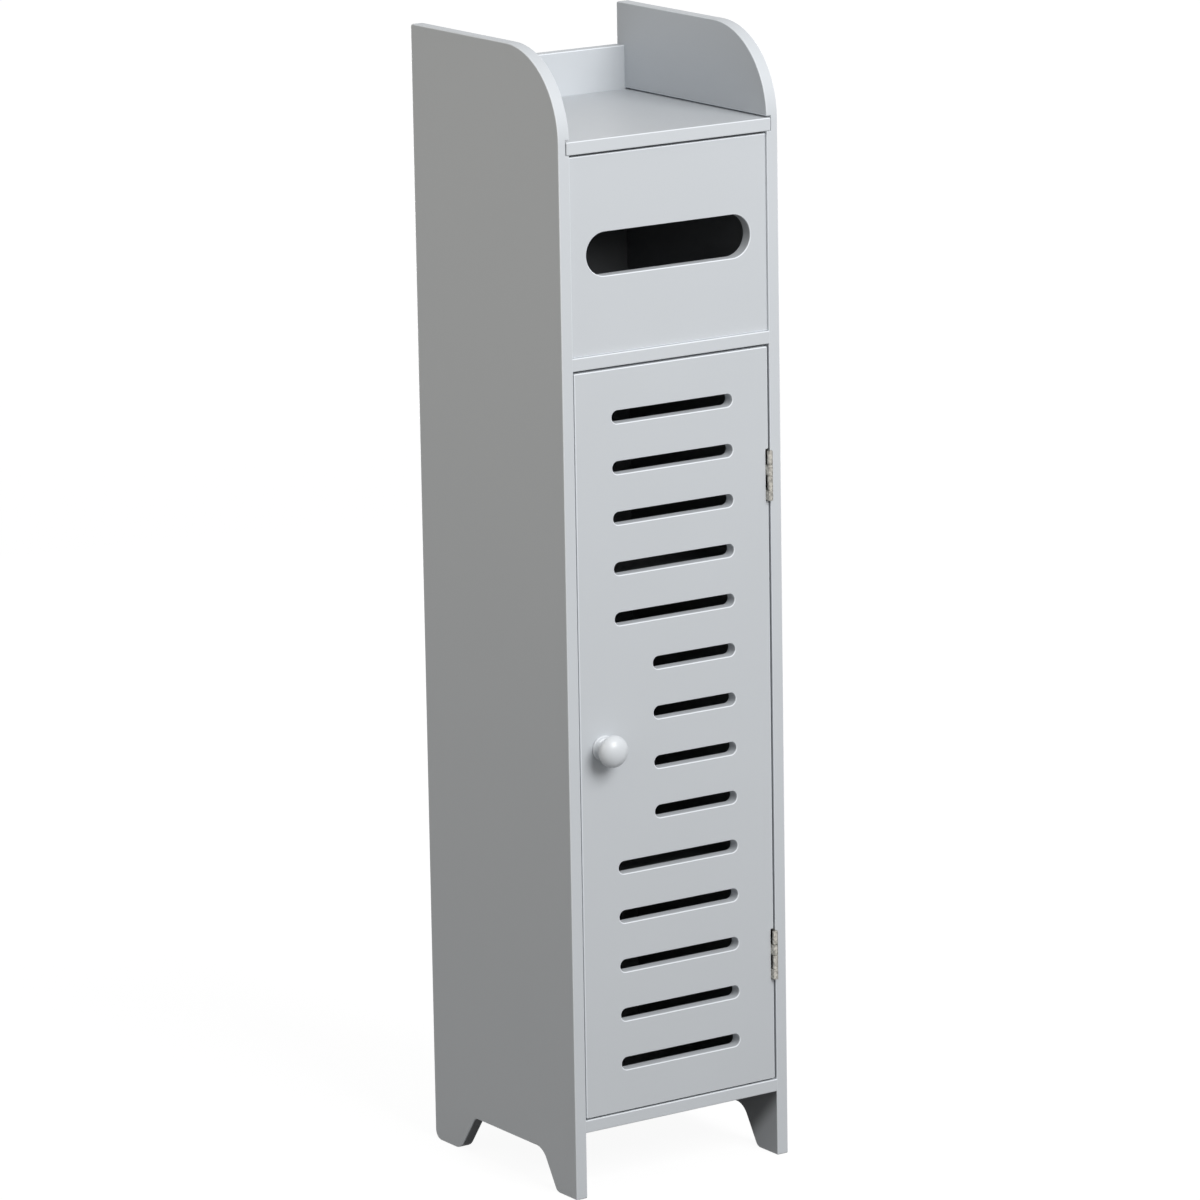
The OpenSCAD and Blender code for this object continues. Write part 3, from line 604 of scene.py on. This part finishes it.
def zinc_plate(colours):
    """Bright zinc plate on steel: cool pale metal with crystals about 0.8 mm across that differ a little in
    tone and gloss."""
    material, tree, shader = finish("bright_zinc_plated_steel", {"Metallic": 1.0})
    place = add_node(tree, "TexCoord").outputs["Object"]
    crystals = add_node(tree, "TexVoronoi", {"Scale": 1 / (0.8 * MM)}, {"Vector": place})
    grey = add_node(tree, "SeparateColor", links={0: crystals.outputs["Color"]})
    shade = add_node(tree, "MapRange", {"To Min": 0.86, "To Max": 1.0}, {"Value": grey})
    skin = add_node(tree, "VectorMath", {"operation": "SCALE", 0: colours.zinc[:3]}, {"Scale": shade})
    rough = add_node(tree, "MapRange", {"To Min": 0.22, "To Max": 0.34}, {"Value": grey})
    feed(tree, shader, {"Base Color": skin, "Roughness": rough})
    return material


def grained_beech(colours):
    """Beech dowel, turned and unfinished: warm pale wood with growth rings about 3 mm apart that run along
    the dowel, and short darker flecks."""
    material, tree, shader = finish("turned_beech", {"Roughness": 0.62, "IOR": 1.45})
    place = add_node(tree, "TexCoord").outputs["Object"]
    drawn = add_node(tree, "Mapping", {"Scale": (0.12, 1, 1)}, {"Vector": place})
    bands = {"bands_direction": "Z", "Scale": 1 / (9 * MM), "Distortion": 3.0}
    rings = add_node(tree, "TexWave", bands, {"Vector": drawn}).outputs["Fac"]
    flecks = add_node(tree, "TexNoise", {"Scale": 1 / (0.6 * MM), "Detail": 2.0}, {"Vector": drawn})
    both = add_node(tree, "Math", {"operation": "MULTIPLY"}, {0: rings, 1: flecks})
    shade = add_node(tree, "MapRange", {"To Min": 1.0, "To Max": 0.72}, {"Value": both})
    skin = add_node(tree, "VectorMath", {"operation": "SCALE", 0: colours.beech[:3]}, {"Scale": shade})
    bump = add_node(tree, "Bump", {"Strength": 0.4, "Distance": 0.04 * MM}, {"Height": flecks})
    feed(tree, shader, {"Base Color": skin, "Normal": bump})
    return material


def moulded_case(colours):
    """Polypropylene moulded in a spark-eroded tool: a soft dry sheen with an even pebble about 0.4 mm
    across, and the light scatters a little way into it."""
    material, tree, shader = finish("moulded_polypropylene", {
        "Base Color": colours.case, "Roughness": 0.45, "IOR": 1.49,
        "Subsurface Weight": 0.1, "Subsurface Scale": 1 * MM
    })
    place = add_node(tree, "TexCoord").outputs["Object"]
    pebble = add_node(tree, "TexNoise", {"Scale": 1 / (0.4 * MM), "Detail": 1.0}, {"Vector": place})
    bump = add_node(tree, "Bump", {"Strength": 0.5, "Distance": 0.03 * MM}, {"Height": pebble})
    feed(tree, shader, {"Normal": bump})
    return material


def sintered_ferrite(colours):
    """Pressed and sintered strontium ferrite: charcoal ceramic, matt, with dark pores about 0.3 mm apart."""
    settings = {"Roughness": 0.7, "IOR": 2.2, "Specular IOR Level": 0.3}
    material, tree, shader = finish("sintered_ferrite", settings)
    place = add_node(tree, "TexCoord").outputs["Object"]
    pores = add_node(tree, "TexVoronoi", {"Scale": 1 / (0.3 * MM)}, {"Vector": place})
    shade = add_node(tree, "MapRange", {"From Max": 0.4, "To Min": 0.5, "To Max": 1.0}, {"Value": pores})
    skin = add_node(tree, "VectorMath", {"operation": "SCALE", 0: colours.ferrite[:3]}, {"Scale": shade})
    feed(tree, shader, {"Base Color": skin})
    return material


def shared(name, make, *values):
    """The material of that name, made on its first use."""
    return bpy.data.materials.get(name) or make(*values)


def board_finish(colours, lined=False):
    """Lacquer for the boards: plain, or with painted shade on the inside for boards that enclose it."""
    name = "sprayed_satin_lacquer_on_mdf_lined" if lined else "sprayed_satin_lacquer_on_mdf"
    return shared(name, sprayed_lacquer, name, colours, lined)


def nickel_finish(colours):
    """Satin nickel for the hinges."""
    name = "brushed_satin_nickel_plate"
    roughness = 0.34
    scratch = 0.09 * MM
    return shared(name, brushed_metal, name, colours.nickel, roughness, scratch)


def zinc_finish(colours):
    """Zinc plate for screws and the catch's steel."""
    return shared("bright_zinc_plated_steel", zinc_plate, colours)


def refinish(node, material):
    """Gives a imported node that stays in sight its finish."""
    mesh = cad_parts[node].data
    mesh.materials.clear()
    mesh.materials.append(material)


# ---- Pieces ----


def upright(sizes, low, high, planed=0):
    """Outline of an upright board whose ends reach into the side panels, and whose top may be planed."""
    start = (low.x - sizes.housing, low.z)
    end = (high.x + sizes.housing, high.z - planed)
    return outline(rectangle(start, end, sizes.corner))


class CABINET_OT_side_panels(bpy.types.Operator):
    """Side panels: two layers of one board, the outer whole and the inner slit by the lid's groove"""

    bl_idname = "cabinet.side_panels"
    bl_label = "Side panels"

    def execute(self, context):
        """An outline with feet and a round top, and a mirror image for the left."""
        sizes = context.scene.cabinet_boards
        low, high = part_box("side_panel_right")
        y0, y1, z1 = low.y, high.y, high.z
        arch_front = y0 + sizes.foot_front
        arch_back = y1 - sizes.foot_back
        whole = arcs([
            (y0, 0, sizes.corner),
            (arch_front, 0, sizes.toe_r),
            (arch_front + sizes.lean_front, sizes.arch_h, sizes.arch_r_front),
            (arch_back - sizes.lean_back, sizes.arch_h, sizes.arch_r_back),
            (arch_back, 0, sizes.heel_r),
            (y1, 0, sizes.tail_r),
            (y1, z1, sizes.rear_top_r),
            (y0, z1, sizes.top_r)
        ], 24)
        groove_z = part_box("sliding_lid")[0].z
        groove_top = groove_z + sizes.groove_h
        groove_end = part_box("back_board")[0].y
        # The groove's path is closed well in front of the board, and only its first four arcs are used
        away = 10 * sizes.corner
        mouth = arcs([
            (y0, groove_top, sizes.corner), (groove_end, groove_top, sizes.corner / 2),
            (groove_end, groove_z, sizes.corner / 2), (y0, groove_z, sizes.corner),
            (y0, groove_z - away, 0), (y0 - away, groove_z - away, 0),
            (y0 - away, groove_top + away, 0), (y0, groove_top + away, 0)
        ], 6)
        # The whole outline, without the points in front that the groove's mouth would cross
        rim, rim_normals = (part.reshape(-1, 2) for part in whole)
        behind = rim[:, 0] > y0 + sizes.corner
        above = rim[:, 1] > groove_top + sizes.corner
        below = rim[:, 1] < groove_z / 2
        kept = behind | above | below
        slit = closed(
            np.concatenate([rim[kept], mouth[0][:4].reshape(-1, 2)]),
            np.concatenate([rim_normals[kept], mouth[1][:4].reshape(-1, 2)])
        )
        floor_x = low.x + sizes.groove_deep
        panel = joined(
            board([closed(*whole)], floor_x, high.x, FACING_SIDE, (0, sizes.ease)),
            board([slit], low.x, floor_x, FACING_SIDE, (sizes.ease, 0))
        )
        lacquer = board_finish(context.scene.cabinet_finishes, lined=True)
        piece("right_side_panel", panel, "carcass", ["side_panel_right"], lacquer)
        mirrored = placed(panel, Matrix.Scale(-1, 4, (1, 0, 0)))
        piece("left_side_panel", mirrored, "carcass", ["side_panel_left"], lacquer)
        return {"FINISHED"}


class CABINET_OT_cross_boards(bpy.types.Operator):
    """Bottom, divider and shelves: level boards housed between the side panels"""

    bl_idname = "cabinet.cross_boards"
    bl_label = "Bottom, divider and shelves"

    def execute(self, context):
        """A rectangle for each, with its ends a little way into the side panels."""
        sizes = context.scene.cabinet_boards
        lacquer = board_finish(context.scene.cabinet_finishes, lined=True)
        ends = Vector((sizes.housing, 0, 0))
        for node, name in (
            ("bottom_board", "bottom"), ("divider_board", "divider"),
            ("shelf_lower", "lower_shelf"), ("shelf_upper", "upper_shelf")
        ):
            low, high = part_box(node)
            edge = outline(rectangle((low - ends).xy, (high + ends).xy, sizes.corner))
            made = board([edge], low.z, high.z, LEVEL, (sizes.ease, sizes.ease))
            piece(name, made, "carcass", [node], lacquer)
        return {"FINISHED"}


class CABINET_OT_back_board(bpy.types.Operator):
    """Back board, which rises behind the lid as a rail, with holes for its screws"""

    bl_idname = "cabinet.back_board"
    bl_label = "Back board"

    def execute(self, context):
        """A rectangle with two round holes at the height of each level board."""
        sizes = context.scene.cabinet_boards
        catch = context.scene.cabinet_catch
        low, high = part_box("back_board")
        edge = upright(sizes, low, high)
        levels = [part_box(node) for node in ("bottom_board", "divider_board", "shelf_lower", "shelf_upper")]
        holes = [
            round_hole(side * catch.back_screw_x, (under.z + top.z) / 2, catch.back_screw_d)
            for under, top in levels for side in (-1, 1)
        ]
        made = board([edge, *holes], low.y, high.y, FACING_FRONT, (sizes.ease, sizes.ease))
        lacquer = board_finish(context.scene.cabinet_finishes, lined=True)
        piece("back", made, "carcass", ["back_board"], lacquer)
        return {"FINISHED"}


class CABINET_OT_roll_bay_front(bpy.types.Operator):
    """Front of the roll bay, with the slot that paper is drawn through"""

    bl_idname = "cabinet.roll_bay_front"
    bl_label = "Roll bay front"

    def execute(self, context):
        """A rectangle with one long round-ended hole in its middle."""
        sizes = context.scene.cabinet_boards
        openings = context.scene.cabinet_openings
        low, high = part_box("front_panel")
        edge = upright(sizes, low, high, sizes.planed)
        half = openings.paper_w / 2
        slot = round_slot(-half, half, (low.z + high.z) / 2, openings.paper_h, 24)
        made = board([edge, slot], low.y, high.y, FACING_FRONT, (sizes.ease, sizes.ease))
        lacquer = board_finish(context.scene.cabinet_finishes)
        piece("roll_bay_front", made, "carcass", ["front_panel"], lacquer)
        return {"FINISHED"}


class CABINET_OT_sliding_lid(bpy.types.Operator):
    """Lid, which slides in the side panels' grooves"""

    bl_idname = "cabinet.sliding_lid"
    bl_label = "Sliding lid"

    def execute(self, context):
        """A rectangle with eased edges."""
        sizes = context.scene.cabinet_boards
        low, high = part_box("sliding_lid")
        edge = outline(rectangle(low.xy, high.xy, sizes.corner))
        made = board([edge], low.z, high.z, LEVEL, (sizes.ease, sizes.ease))
        lacquer = board_finish(context.scene.cabinet_finishes)
        piece("lid", made, "lid", ["sliding_lid"], lacquer)
        return {"FINISHED"}


class CABINET_OT_slotted_door(bpy.types.Operator):
    """Door: one board with round-ended slots, and a notch for each hinge in its edge"""

    bl_idname = "cabinet.slotted_door"
    bl_label = "Slotted door"

    def execute(self, context):
        """A rectangle with two notches at the right, and slots that start further right beside the knob."""
        sizes = context.scene.cabinet_boards
        openings = context.scene.cabinet_openings
        hinges = context.scene.cabinet_hinges
        low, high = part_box("door")
        notch_x = high.x - hinges.notch
        edge_x = high.x - sizes.planed
        top_z = high.z - sizes.planed
        corners = [(low.x, low.z, sizes.corner), (edge_x, low.z, sizes.corner)]
        for node in ("hinge_lower_door_leaf", "hinge_upper_door_leaf"):
            leaf_low, leaf_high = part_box(node)
            z0 = leaf_low.z - hinges.notch_gap
            z1 = leaf_high.z + hinges.notch_gap
            corners += [
                (edge_x, z0, sizes.corner), (notch_x, z0, sizes.corner / 2),
                (notch_x, z1, sizes.corner / 2), (edge_x, z1, sizes.corner)
            ]
        corners += [(edge_x, top_z, sizes.corner), (low.x, top_z, sizes.corner)]
        knob_low, knob_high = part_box("knob")
        knob_z = (knob_low.z + knob_high.z) / 2
        middle = (low.z + high.z) / 2
        slots = []
        for number in range(openings.count):
            z = middle + (number - (openings.count - 1) / 2) * openings.pitch
            start = low.x + openings.margin
            if abs(z - knob_z) < openings.reach:
                start += openings.shorter
            slots.append(round_slot(start, high.x - openings.margin, z, openings.slot_h))
        made = board([outline(corners), *slots], low.y, high.y, FACING_FRONT, (sizes.ease, sizes.ease))
        lacquer = board_finish(context.scene.cabinet_finishes)
        piece("slotted_door", made, "door", ["door"], lacquer)
        return {"FINISHED"}


class CABINET_OT_knob(bpy.types.Operator):
    """Round knob with a foot, a waist and a domed head"""

    bl_idname = "cabinet.knob"
    bl_label = "Knob"

    def execute(self, context):
        """A profile of elliptical arcs, turned about the axis that points out of the door."""
        sizes = context.scene.cabinet_knob
        low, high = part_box("knob")
        seat_r = 0.3 * sizes.edge_r
        foot_r = sizes.foot_d / 2 - sizes.edge_r
        neck_r = sizes.neck_d / 2
        head_r = sizes.head_d / 2
        rim_r = head_r - sizes.edge_r
        under_z = sizes.head_at - sizes.under + sizes.edge_r
        waist = sizes.neck_at - sizes.foot_t
        profile = np.concatenate([
            [[0, 0]],
            quarter((foot_r + sizes.edge_r - seat_r, seat_r), (seat_r, seat_r), -90, 0, 4),
            quarter((foot_r, sizes.foot_t - sizes.edge_r), (sizes.edge_r, sizes.edge_r), 0, 90, 8),
            quarter((foot_r, sizes.neck_at), (neck_r - foot_r, -waist), 90, 0, 14)[1:],
            quarter((rim_r, sizes.neck_at), (neck_r - rim_r, under_z - sizes.neck_at), 0, 90, 14)[1:],
            quarter((rim_r, sizes.head_at), (sizes.edge_r, under_z - sizes.head_at), 90, 0, 10)[1:],
            quarter((0, sizes.head_at), (head_r, sizes.dome), 0, 90, 24)[1:]
        ])
        place = Matrix.Translation(((low.x + high.x) / 2, high.y, (low.z + high.z) / 2))
        made = placed(turned(profile, 96), place @ Matrix.Rotation(math.pi / 2, 4, "X"))
        gloss = glossy_moulding(context.scene.cabinet_finishes)
        piece("round_knob", made, "door", ["knob"], gloss)
        return {"FINISHED"}


class CABINET_OT_hinges(bpy.types.Operator):
    """Two butt hinges: stamped leaves whose knuckles are rolled round a pin"""

    bl_idname = "cabinet.hinges"
    bl_label = "Hinges"

    def execute(self, context):
        """A leaf to the right of each pin, and the door's leaf as the mirror image of such a leaf."""
        sizes = context.scene.cabinet_hinges
        nickel = nickel_finish(context.scene.cabinet_finishes)
        pair = sizes.door_knuckle + sizes.frame_knuckle + 2 * sizes.gap
        door_starts = [0, pair]
        frame_starts = [start + sizes.door_knuckle + sizes.gap for start in door_starts]
        frame_leaf = self.leaf(sizes, frame_starts, sizes.frame_knuckle)
        door_leaf = placed(self.leaf(sizes, door_starts, sizes.door_knuckle), Matrix.Scale(-1, 4, (1, 0, 0)))
        pin = self.pin(sizes)
        for which in ("upper", "lower"):
            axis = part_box(f"hinge_{which}_pin")
            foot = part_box(f"hinge_{which}_frame_leaf")[0].z
            place = Matrix.Translation(((axis[0].x + axis[1].x) / 2, (axis[0].y + axis[1].y) / 2, foot))
            for name, shell, body, node in (
                ("frame_leaf_of", frame_leaf, "carcass", "frame_leaf"),
                ("door_leaf_of", door_leaf, "door", "door_leaf"),
                ("pin_of", pin, "carcass", "pin")
            ):
                piece(
                    f"{name}_{which}_hinge", placed(shell, place), body, [f"hinge_{which}_{node}"],
                    nickel
                )
        return {"FINISHED"}

    def leaf(self, sizes, starts, tall):
        """Leaf to the right of the pin's axis: a plate with a tab for each knuckle, and there a strip that
        follows a circle from the tab round the front of the pin, a little over three quarters of it."""
        barrel_r = sizes.barrel_d / 2
        tight = 0.25 * MM
        plate_ease = 0.12 * MM
        inner = sizes.leaf_start
        edge = [(sizes.reach, 0, sizes.corner), (sizes.reach, sizes.height, sizes.corner)]
        levels = [level for start in starts for level in (start, start + tall)][::-1]
        tabs = []
        for top, bottom in zip(levels[::2], levels[1::2]):
            tabs += [(inner, top, tight), (0, top, tight), (0, bottom, tight), (inner, bottom, tight)]
        # A tab at an end of the leaf has no inner corner there, and elsewhere the plate has its own
        if levels[0] > sizes.height - tight:
            tabs = tabs[1:]
        else:
            tabs.insert(0, (inner, sizes.height, tight))
        if levels[-1] < tight:
            tabs = tabs[:-1]
        else:
            tabs.append((inner, 0, tight))
        holes = [
            round_hole(sizes.screw_reach, sizes.height / 2 + side * sizes.screw_gap / 2, sizes.screw_hole_d)
            for side in (-1, 1)
        ]
        plate = board(
            [outline(edge + tabs, 6), *holes], barrel_r - sizes.leaf_t, barrel_r, FACING_SIDE,
            (plate_ease, plate_ease)
        )
        thin = 0.86 * MM
        wrapped = 275
        turn = np.radians(np.linspace(0, -wrapped, 45))
        around = np.stack([np.cos(turn), np.sin(turn)], -1)
        curl, curl_normals = strip(around * (barrel_r - thin / 2), around, thin / 2)
        rolled = [
            board([(curl[::-1], curl_normals[::-1])], start, start + tall, LEVEL, (STAMPED, STAMPED))
            for start in starts
        ]
        return joined(plate, *rolled)

    def pin(self, sizes):
        """Pin with domed ends, a little longer than the barrel."""
        over = 0.4 * MM
        radius = sizes.pin_d / 2
        dome = 0.4 * radius
        profile = np.concatenate([
            quarter((0, dome - over), (radius, dome), -90, 0, 8),
            quarter((0, sizes.height + over - dome), (radius, dome), 0, 90, 8)
        ])
        return turned(profile, 32)


class CABINET_OT_magnetic_catch(bpy.types.Operator):
    """Magnetic catch under the divider, and its strike plate on the door"""

    bl_idname = "cabinet.magnetic_catch"
    bl_label = "Magnetic catch"

    def execute(self, context):
        """A moulded case in two layers, pocket and back, two steel plates on the magnet, and a plate with
        two holes on the door."""
        sizes = context.scene.cabinet_catch
        colours = context.scene.cabinet_finishes
        low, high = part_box("catch_body")
        case_x0 = low.x + sizes.ear
        case_x1 = high.x - sizes.ear
        ear_z = high.z - sizes.ear_t
        small = 0.7 * MM
        plate_r = 0.5 * MM
        strike_r = 1.5 * MM
        tee = outline([
            (case_x0, low.z, small), (case_x1, low.z, small), (case_x1, ear_z, small), (high.x, ear_z, small),
            (high.x, high.z, small), (low.x, high.z, small), (low.x, ear_z, small), (case_x0, ear_z, small)
        ], 6)
        pocket = outline(rectangle(
            (case_x0 + sizes.cheek, low.z + sizes.floor),
            (case_x1 - sizes.cheek, low.z + sizes.floor + sizes.pocket_h), small
        )[::-1], 6)
        ease = 0.5 * MM
        behind = low.y + sizes.pocket_deep
        case = joined(
            board([tee, pocket], low.y, behind, FACING_FRONT, (ease, 0)),
            board([tee], behind, high.y, FACING_FRONT, (0, ease))
        )
        piece("catch_case", case, "carcass", ["catch_body"], moulded_case(colours))
        low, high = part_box("catch_pole_plates")
        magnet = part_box("catch_magnet")
        edge = outline(rectangle(low.xy, high.xy, plate_r), 6)
        plates = [
            board([edge], z0, z1, LEVEL, (STAMPED, STAMPED))
            for z0, z1 in ((low.z, magnet[0].z), (magnet[1].z, high.z))
        ]
        zinc = zinc_finish(colours)
        piece("catch_poles", joined(*plates), "carcass", ["catch_pole_plates"], zinc)
        low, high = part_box("strike_plate")
        middle = ((low.x + high.x) / 2, (low.z + high.z) / 2)
        hole_d = 4.3 * MM
        holes = [round_hole(middle[0] + side * sizes.strike_hole, middle[1], hole_d) for side in (-1, 1)]
        edge = outline(rectangle((low.x, low.z), (high.x, high.z), strike_r), 8)
        strike = board([edge, *holes], low.y, high.y, FACING_FRONT, (STAMPED, STAMPED))
        piece("strike", strike, "door", ["strike_plate"], zinc)
        refinish("catch_magnet", sintered_ferrite(colours))
        return {"FINISHED"}


class CABINET_OT_fixings(bpy.types.Operator):
    """Screws and dowels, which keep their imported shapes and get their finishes"""

    bl_idname = "cabinet.fixings"
    bl_label = "Screws and dowels"

    def execute(self, context):
        """Zinc plate for every screw and beech for every dowel."""
        colours = context.scene.cabinet_finishes
        zinc = zinc_finish(colours)
        beech = shared("turned_beech", grained_beech, colours)
        for node in (
            "hinge_frame_screws", "hinge_door_screws", "catch_screws", "strike_screws", "knob_screw",
            "back_screws"
        ):
            refinish(node, zinc)
        for node in ("bottom_dowels", "divider_dowels", "shelf_dowels", "front_panel_dowels", "back_dowels"):
            refinish(node, beech)
        return {"FINISHED"}


# ---- Stage ----


class CABINET_OT_stage(bpy.types.Operator):
    """Camera, pale floor and soft light"""

    bl_idname = "cabinet.stage"
    bl_label = "Stage"

    def execute(self, context):
        """The camera where the photographer stood, a wide floor, an even sky, and three soft lamps: a large
        one in front, above and to the right, a small one beside the left side panel, and one behind that is
        too low for the lid to mirror it. A card gives the hinges' barrels and the knob a dark right side."""
        sizes = context.scene.cabinet_stage
        self.camera(context, sizes)
        self.floor(context, sizes)
        self.card(context)
        self.sky(context, sizes)
        self.lamp(
            context, "key_lamp", sizes.key_watts, place=(0.2, -1.95, 1.75), aim=(0, 0, 0.5), size=1.3
        )
        self.lamp(
            context, "fill_lamp", sizes.fill_watts, place=(-0.8, 0, 0.8), aim=(-0.09, 0.02, 0.7), size=0.4,
            tint=sizes.warm[:3]
        )
        self.lamp(
            context, "rear_lamp", sizes.rear_watts, place=(0.3, 2.0, 0.4), aim=(0, 0.1, 0.4), size=0.6
        )
        context.scene.view_settings.view_transform = "Standard"
        return {"FINISHED"}

    def camera(self, context, sizes):
        """Camera level at first, looking along +Y, then dipped, turned towards +X and rolled."""
        data = bpy.data.cameras.new("camera")
        data.lens = sizes.lens
        data.sensor_width = 36
        data.clip_start = 0.1
        data.clip_end = 60
        camera = bpy.data.objects.new("camera", data)
        context.scene.collection.objects.link(camera)
        heading = Matrix.Rotation(-sizes.azimuth, 4, "Z")
        dip = Matrix.Rotation(math.pi / 2 - sizes.elevation, 4, "X")
        roll = Matrix.Rotation(-sizes.roll, 4, "Z")
        camera.matrix_world = Matrix.Translation(sizes.camera_at) @ heading @ dip @ roll
        context.scene.camera = camera

    def floor(self, context, sizes):
        """Wide sheet whose paper takes the cabinet's shadow and glows, so that the camera sees it white. The
        glow grows with the distance, as the lamps' light on the paper fades."""
        material, tree, shader = finish("pale_studio_paper", {
            "Base Color": sizes.floor, "Roughness": 0.9, "Specular IOR Level": 0.0,
            "Emission Color": (1, 1, 1, 1)
        })
        place = add_node(tree, "TexCoord").outputs["Object"]
        away = add_node(tree, "VectorMath", {"operation": "LENGTH"}, {0: place}).outputs["Value"]
        rise = {"From Min": 0.8, "From Max": 4.5, "To Min": 0.93, "To Max": 0.97}
        lift = add_node(tree, "MapRange", rise, {"Value": away})
        glow = add_node(tree, "Math", {"operation": "MULTIPLY"}, {0: seen_ray(tree), 1: lift})
        feed(tree, shader, {"Emission Strength": glow})
        half = 20.0
        self.sheet(context, "floor", (-half, -half), (half, half), 0, material)

    def card(self, context):
        """Black card on the floor, to the right of the cabinet, that only reflections see."""
        near = (0.13, -0.25)
        far = (3, 2)
        height = 2 * MM
        material = finish("black_card", {"Base Color": (0.01, 0.01, 0.01, 1), "Roughness": 0.9})[0]
        card = self.sheet(context, "card", near, far, height, material)
        for kind in ("camera", "diffuse", "transmission", "shadow"):
            setattr(card, f"visible_{kind}", False)

    def sheet(self, context, name, low, high, z, material):
        """Level rectangle at height z, with its material."""
        mesh = bpy.data.meshes.new(name)
        corners = [(x, y, z) for x, y, _ in rectangle(low, high, 0)]
        mesh.from_pydata(corners, [], [(0, 1, 2, 3)])
        mesh.materials.append(material)
        made = bpy.data.objects.new(name, mesh)
        context.scene.collection.objects.link(made)
        return made

    def sky(self, context, sizes):
        """Even light from all round, behind which the camera and reflections see plain white."""
        world = bpy.data.worlds.new("studio")
        world.use_nodes = True
        tree = world.node_tree
        tree.nodes.clear()
        levels = {"To Min": sizes.sky, "To Max": 1.0}
        strength = add_node(tree, "MapRange", levels, {"Value": seen_ray(tree)})
        light = add_node(tree, "Background", {"Color": (1, 1, 1, 1)}, {"Strength": strength})
        add_node(tree, "OutputWorld", links={"Surface": light})
        context.scene.world = world

    def lamp(self, context, name, watts, place, aim, size, tint=(1, 1, 1)):
        """Square soft lamp at a place, turned so that it faces its aim."""
        data = bpy.data.lights.new(name, "AREA")
        data.shape = "SQUARE"
        data.size = size
        data.energy = watts
        data.color = tint
        lamp = bpy.data.objects.new(name, data)
        context.scene.collection.objects.link(lamp)
        lamp.location = place
        lamp.rotation_euler = (lamp.location - Vector(aim)).to_track_quat("Z", "Y").to_euler()


def seen_ray(tree):
    """1 for a ray from the camera, off something that mirrors or through something clear, else 0."""
    path = add_node(tree, "LightPath").outputs
    either = {0: path["Is Camera Ray"], 1: path["Is Glossy Ray"]}
    seen = add_node(tree, "Math", {"operation": "MAXIMUM"}, either)
    return add_node(tree, "Math", {"operation": "MAXIMUM"}, {0: seen, 1: path["Is Transmission Ray"]})


# ---- Panel and registration ----

OPERATORS = (
    CABINET_OT_stage, CABINET_OT_side_panels, CABINET_OT_cross_boards, CABINET_OT_back_board,
    CABINET_OT_roll_bay_front, CABINET_OT_sliding_lid, CABINET_OT_slotted_door, CABINET_OT_knob,
    CABINET_OT_hinges, CABINET_OT_magnetic_catch, CABINET_OT_fixings
)

GROUPS = {
    "cabinet_boards": CabinetBoards,
    "cabinet_openings": CabinetOpenings,
    "cabinet_knob": CabinetKnob,
    "cabinet_hinges": CabinetHinges,
    "cabinet_catch": CabinetCatch,
    "cabinet_finishes": CabinetFinishes,
    "cabinet_stage": CabinetStage,
}


class CABINET_PT_pieces(bpy.types.Panel):
    """Buttons for the pieces, and the sizes and colours that they are made from"""

    bl_idname = "CABINET_PT_pieces"
    bl_label = "Narrow cabinet"
    bl_space_type = "VIEW_3D"
    bl_region_type = "UI"
    bl_category = "Cabinet"

    def draw(self, context):
        """One button for each operator, then the values by group."""
        for operator in OPERATORS:
            self.layout.operator(operator.bl_idname)
        for name in GROUPS:
            group = getattr(context.scene, name)
            box = self.layout.box()
            box.label(text=name.replace("_", " "))
            for value in group.__annotations__:
                box.prop(group, value)


def register():
    """Registers the groups of values, the operators and the panel."""
    for name, group in GROUPS.items():
        bpy.utils.register_class(group)
        setattr(bpy.types.Scene, name, bpy.props.PointerProperty(type=group))
    for operator in OPERATORS:
        bpy.utils.register_class(operator)
    bpy.utils.register_class(CABINET_PT_pieces)


def unregister():
    """Undoes register, in the opposite order."""
    bpy.utils.unregister_class(CABINET_PT_pieces)
    for operator in reversed(OPERATORS):
        bpy.utils.unregister_class(operator)
    for name, group in reversed(GROUPS.items()):
        delattr(bpy.types.Scene, name)
        bpy.utils.unregister_class(group)


def main():
    """Makes every piece in order."""
    register()
    for operator in OPERATORS:
        category, name = operator.bl_idname.split(".")
        getattr(getattr(bpy.ops, category), name)()


if __name__ == "__main__":
    main()
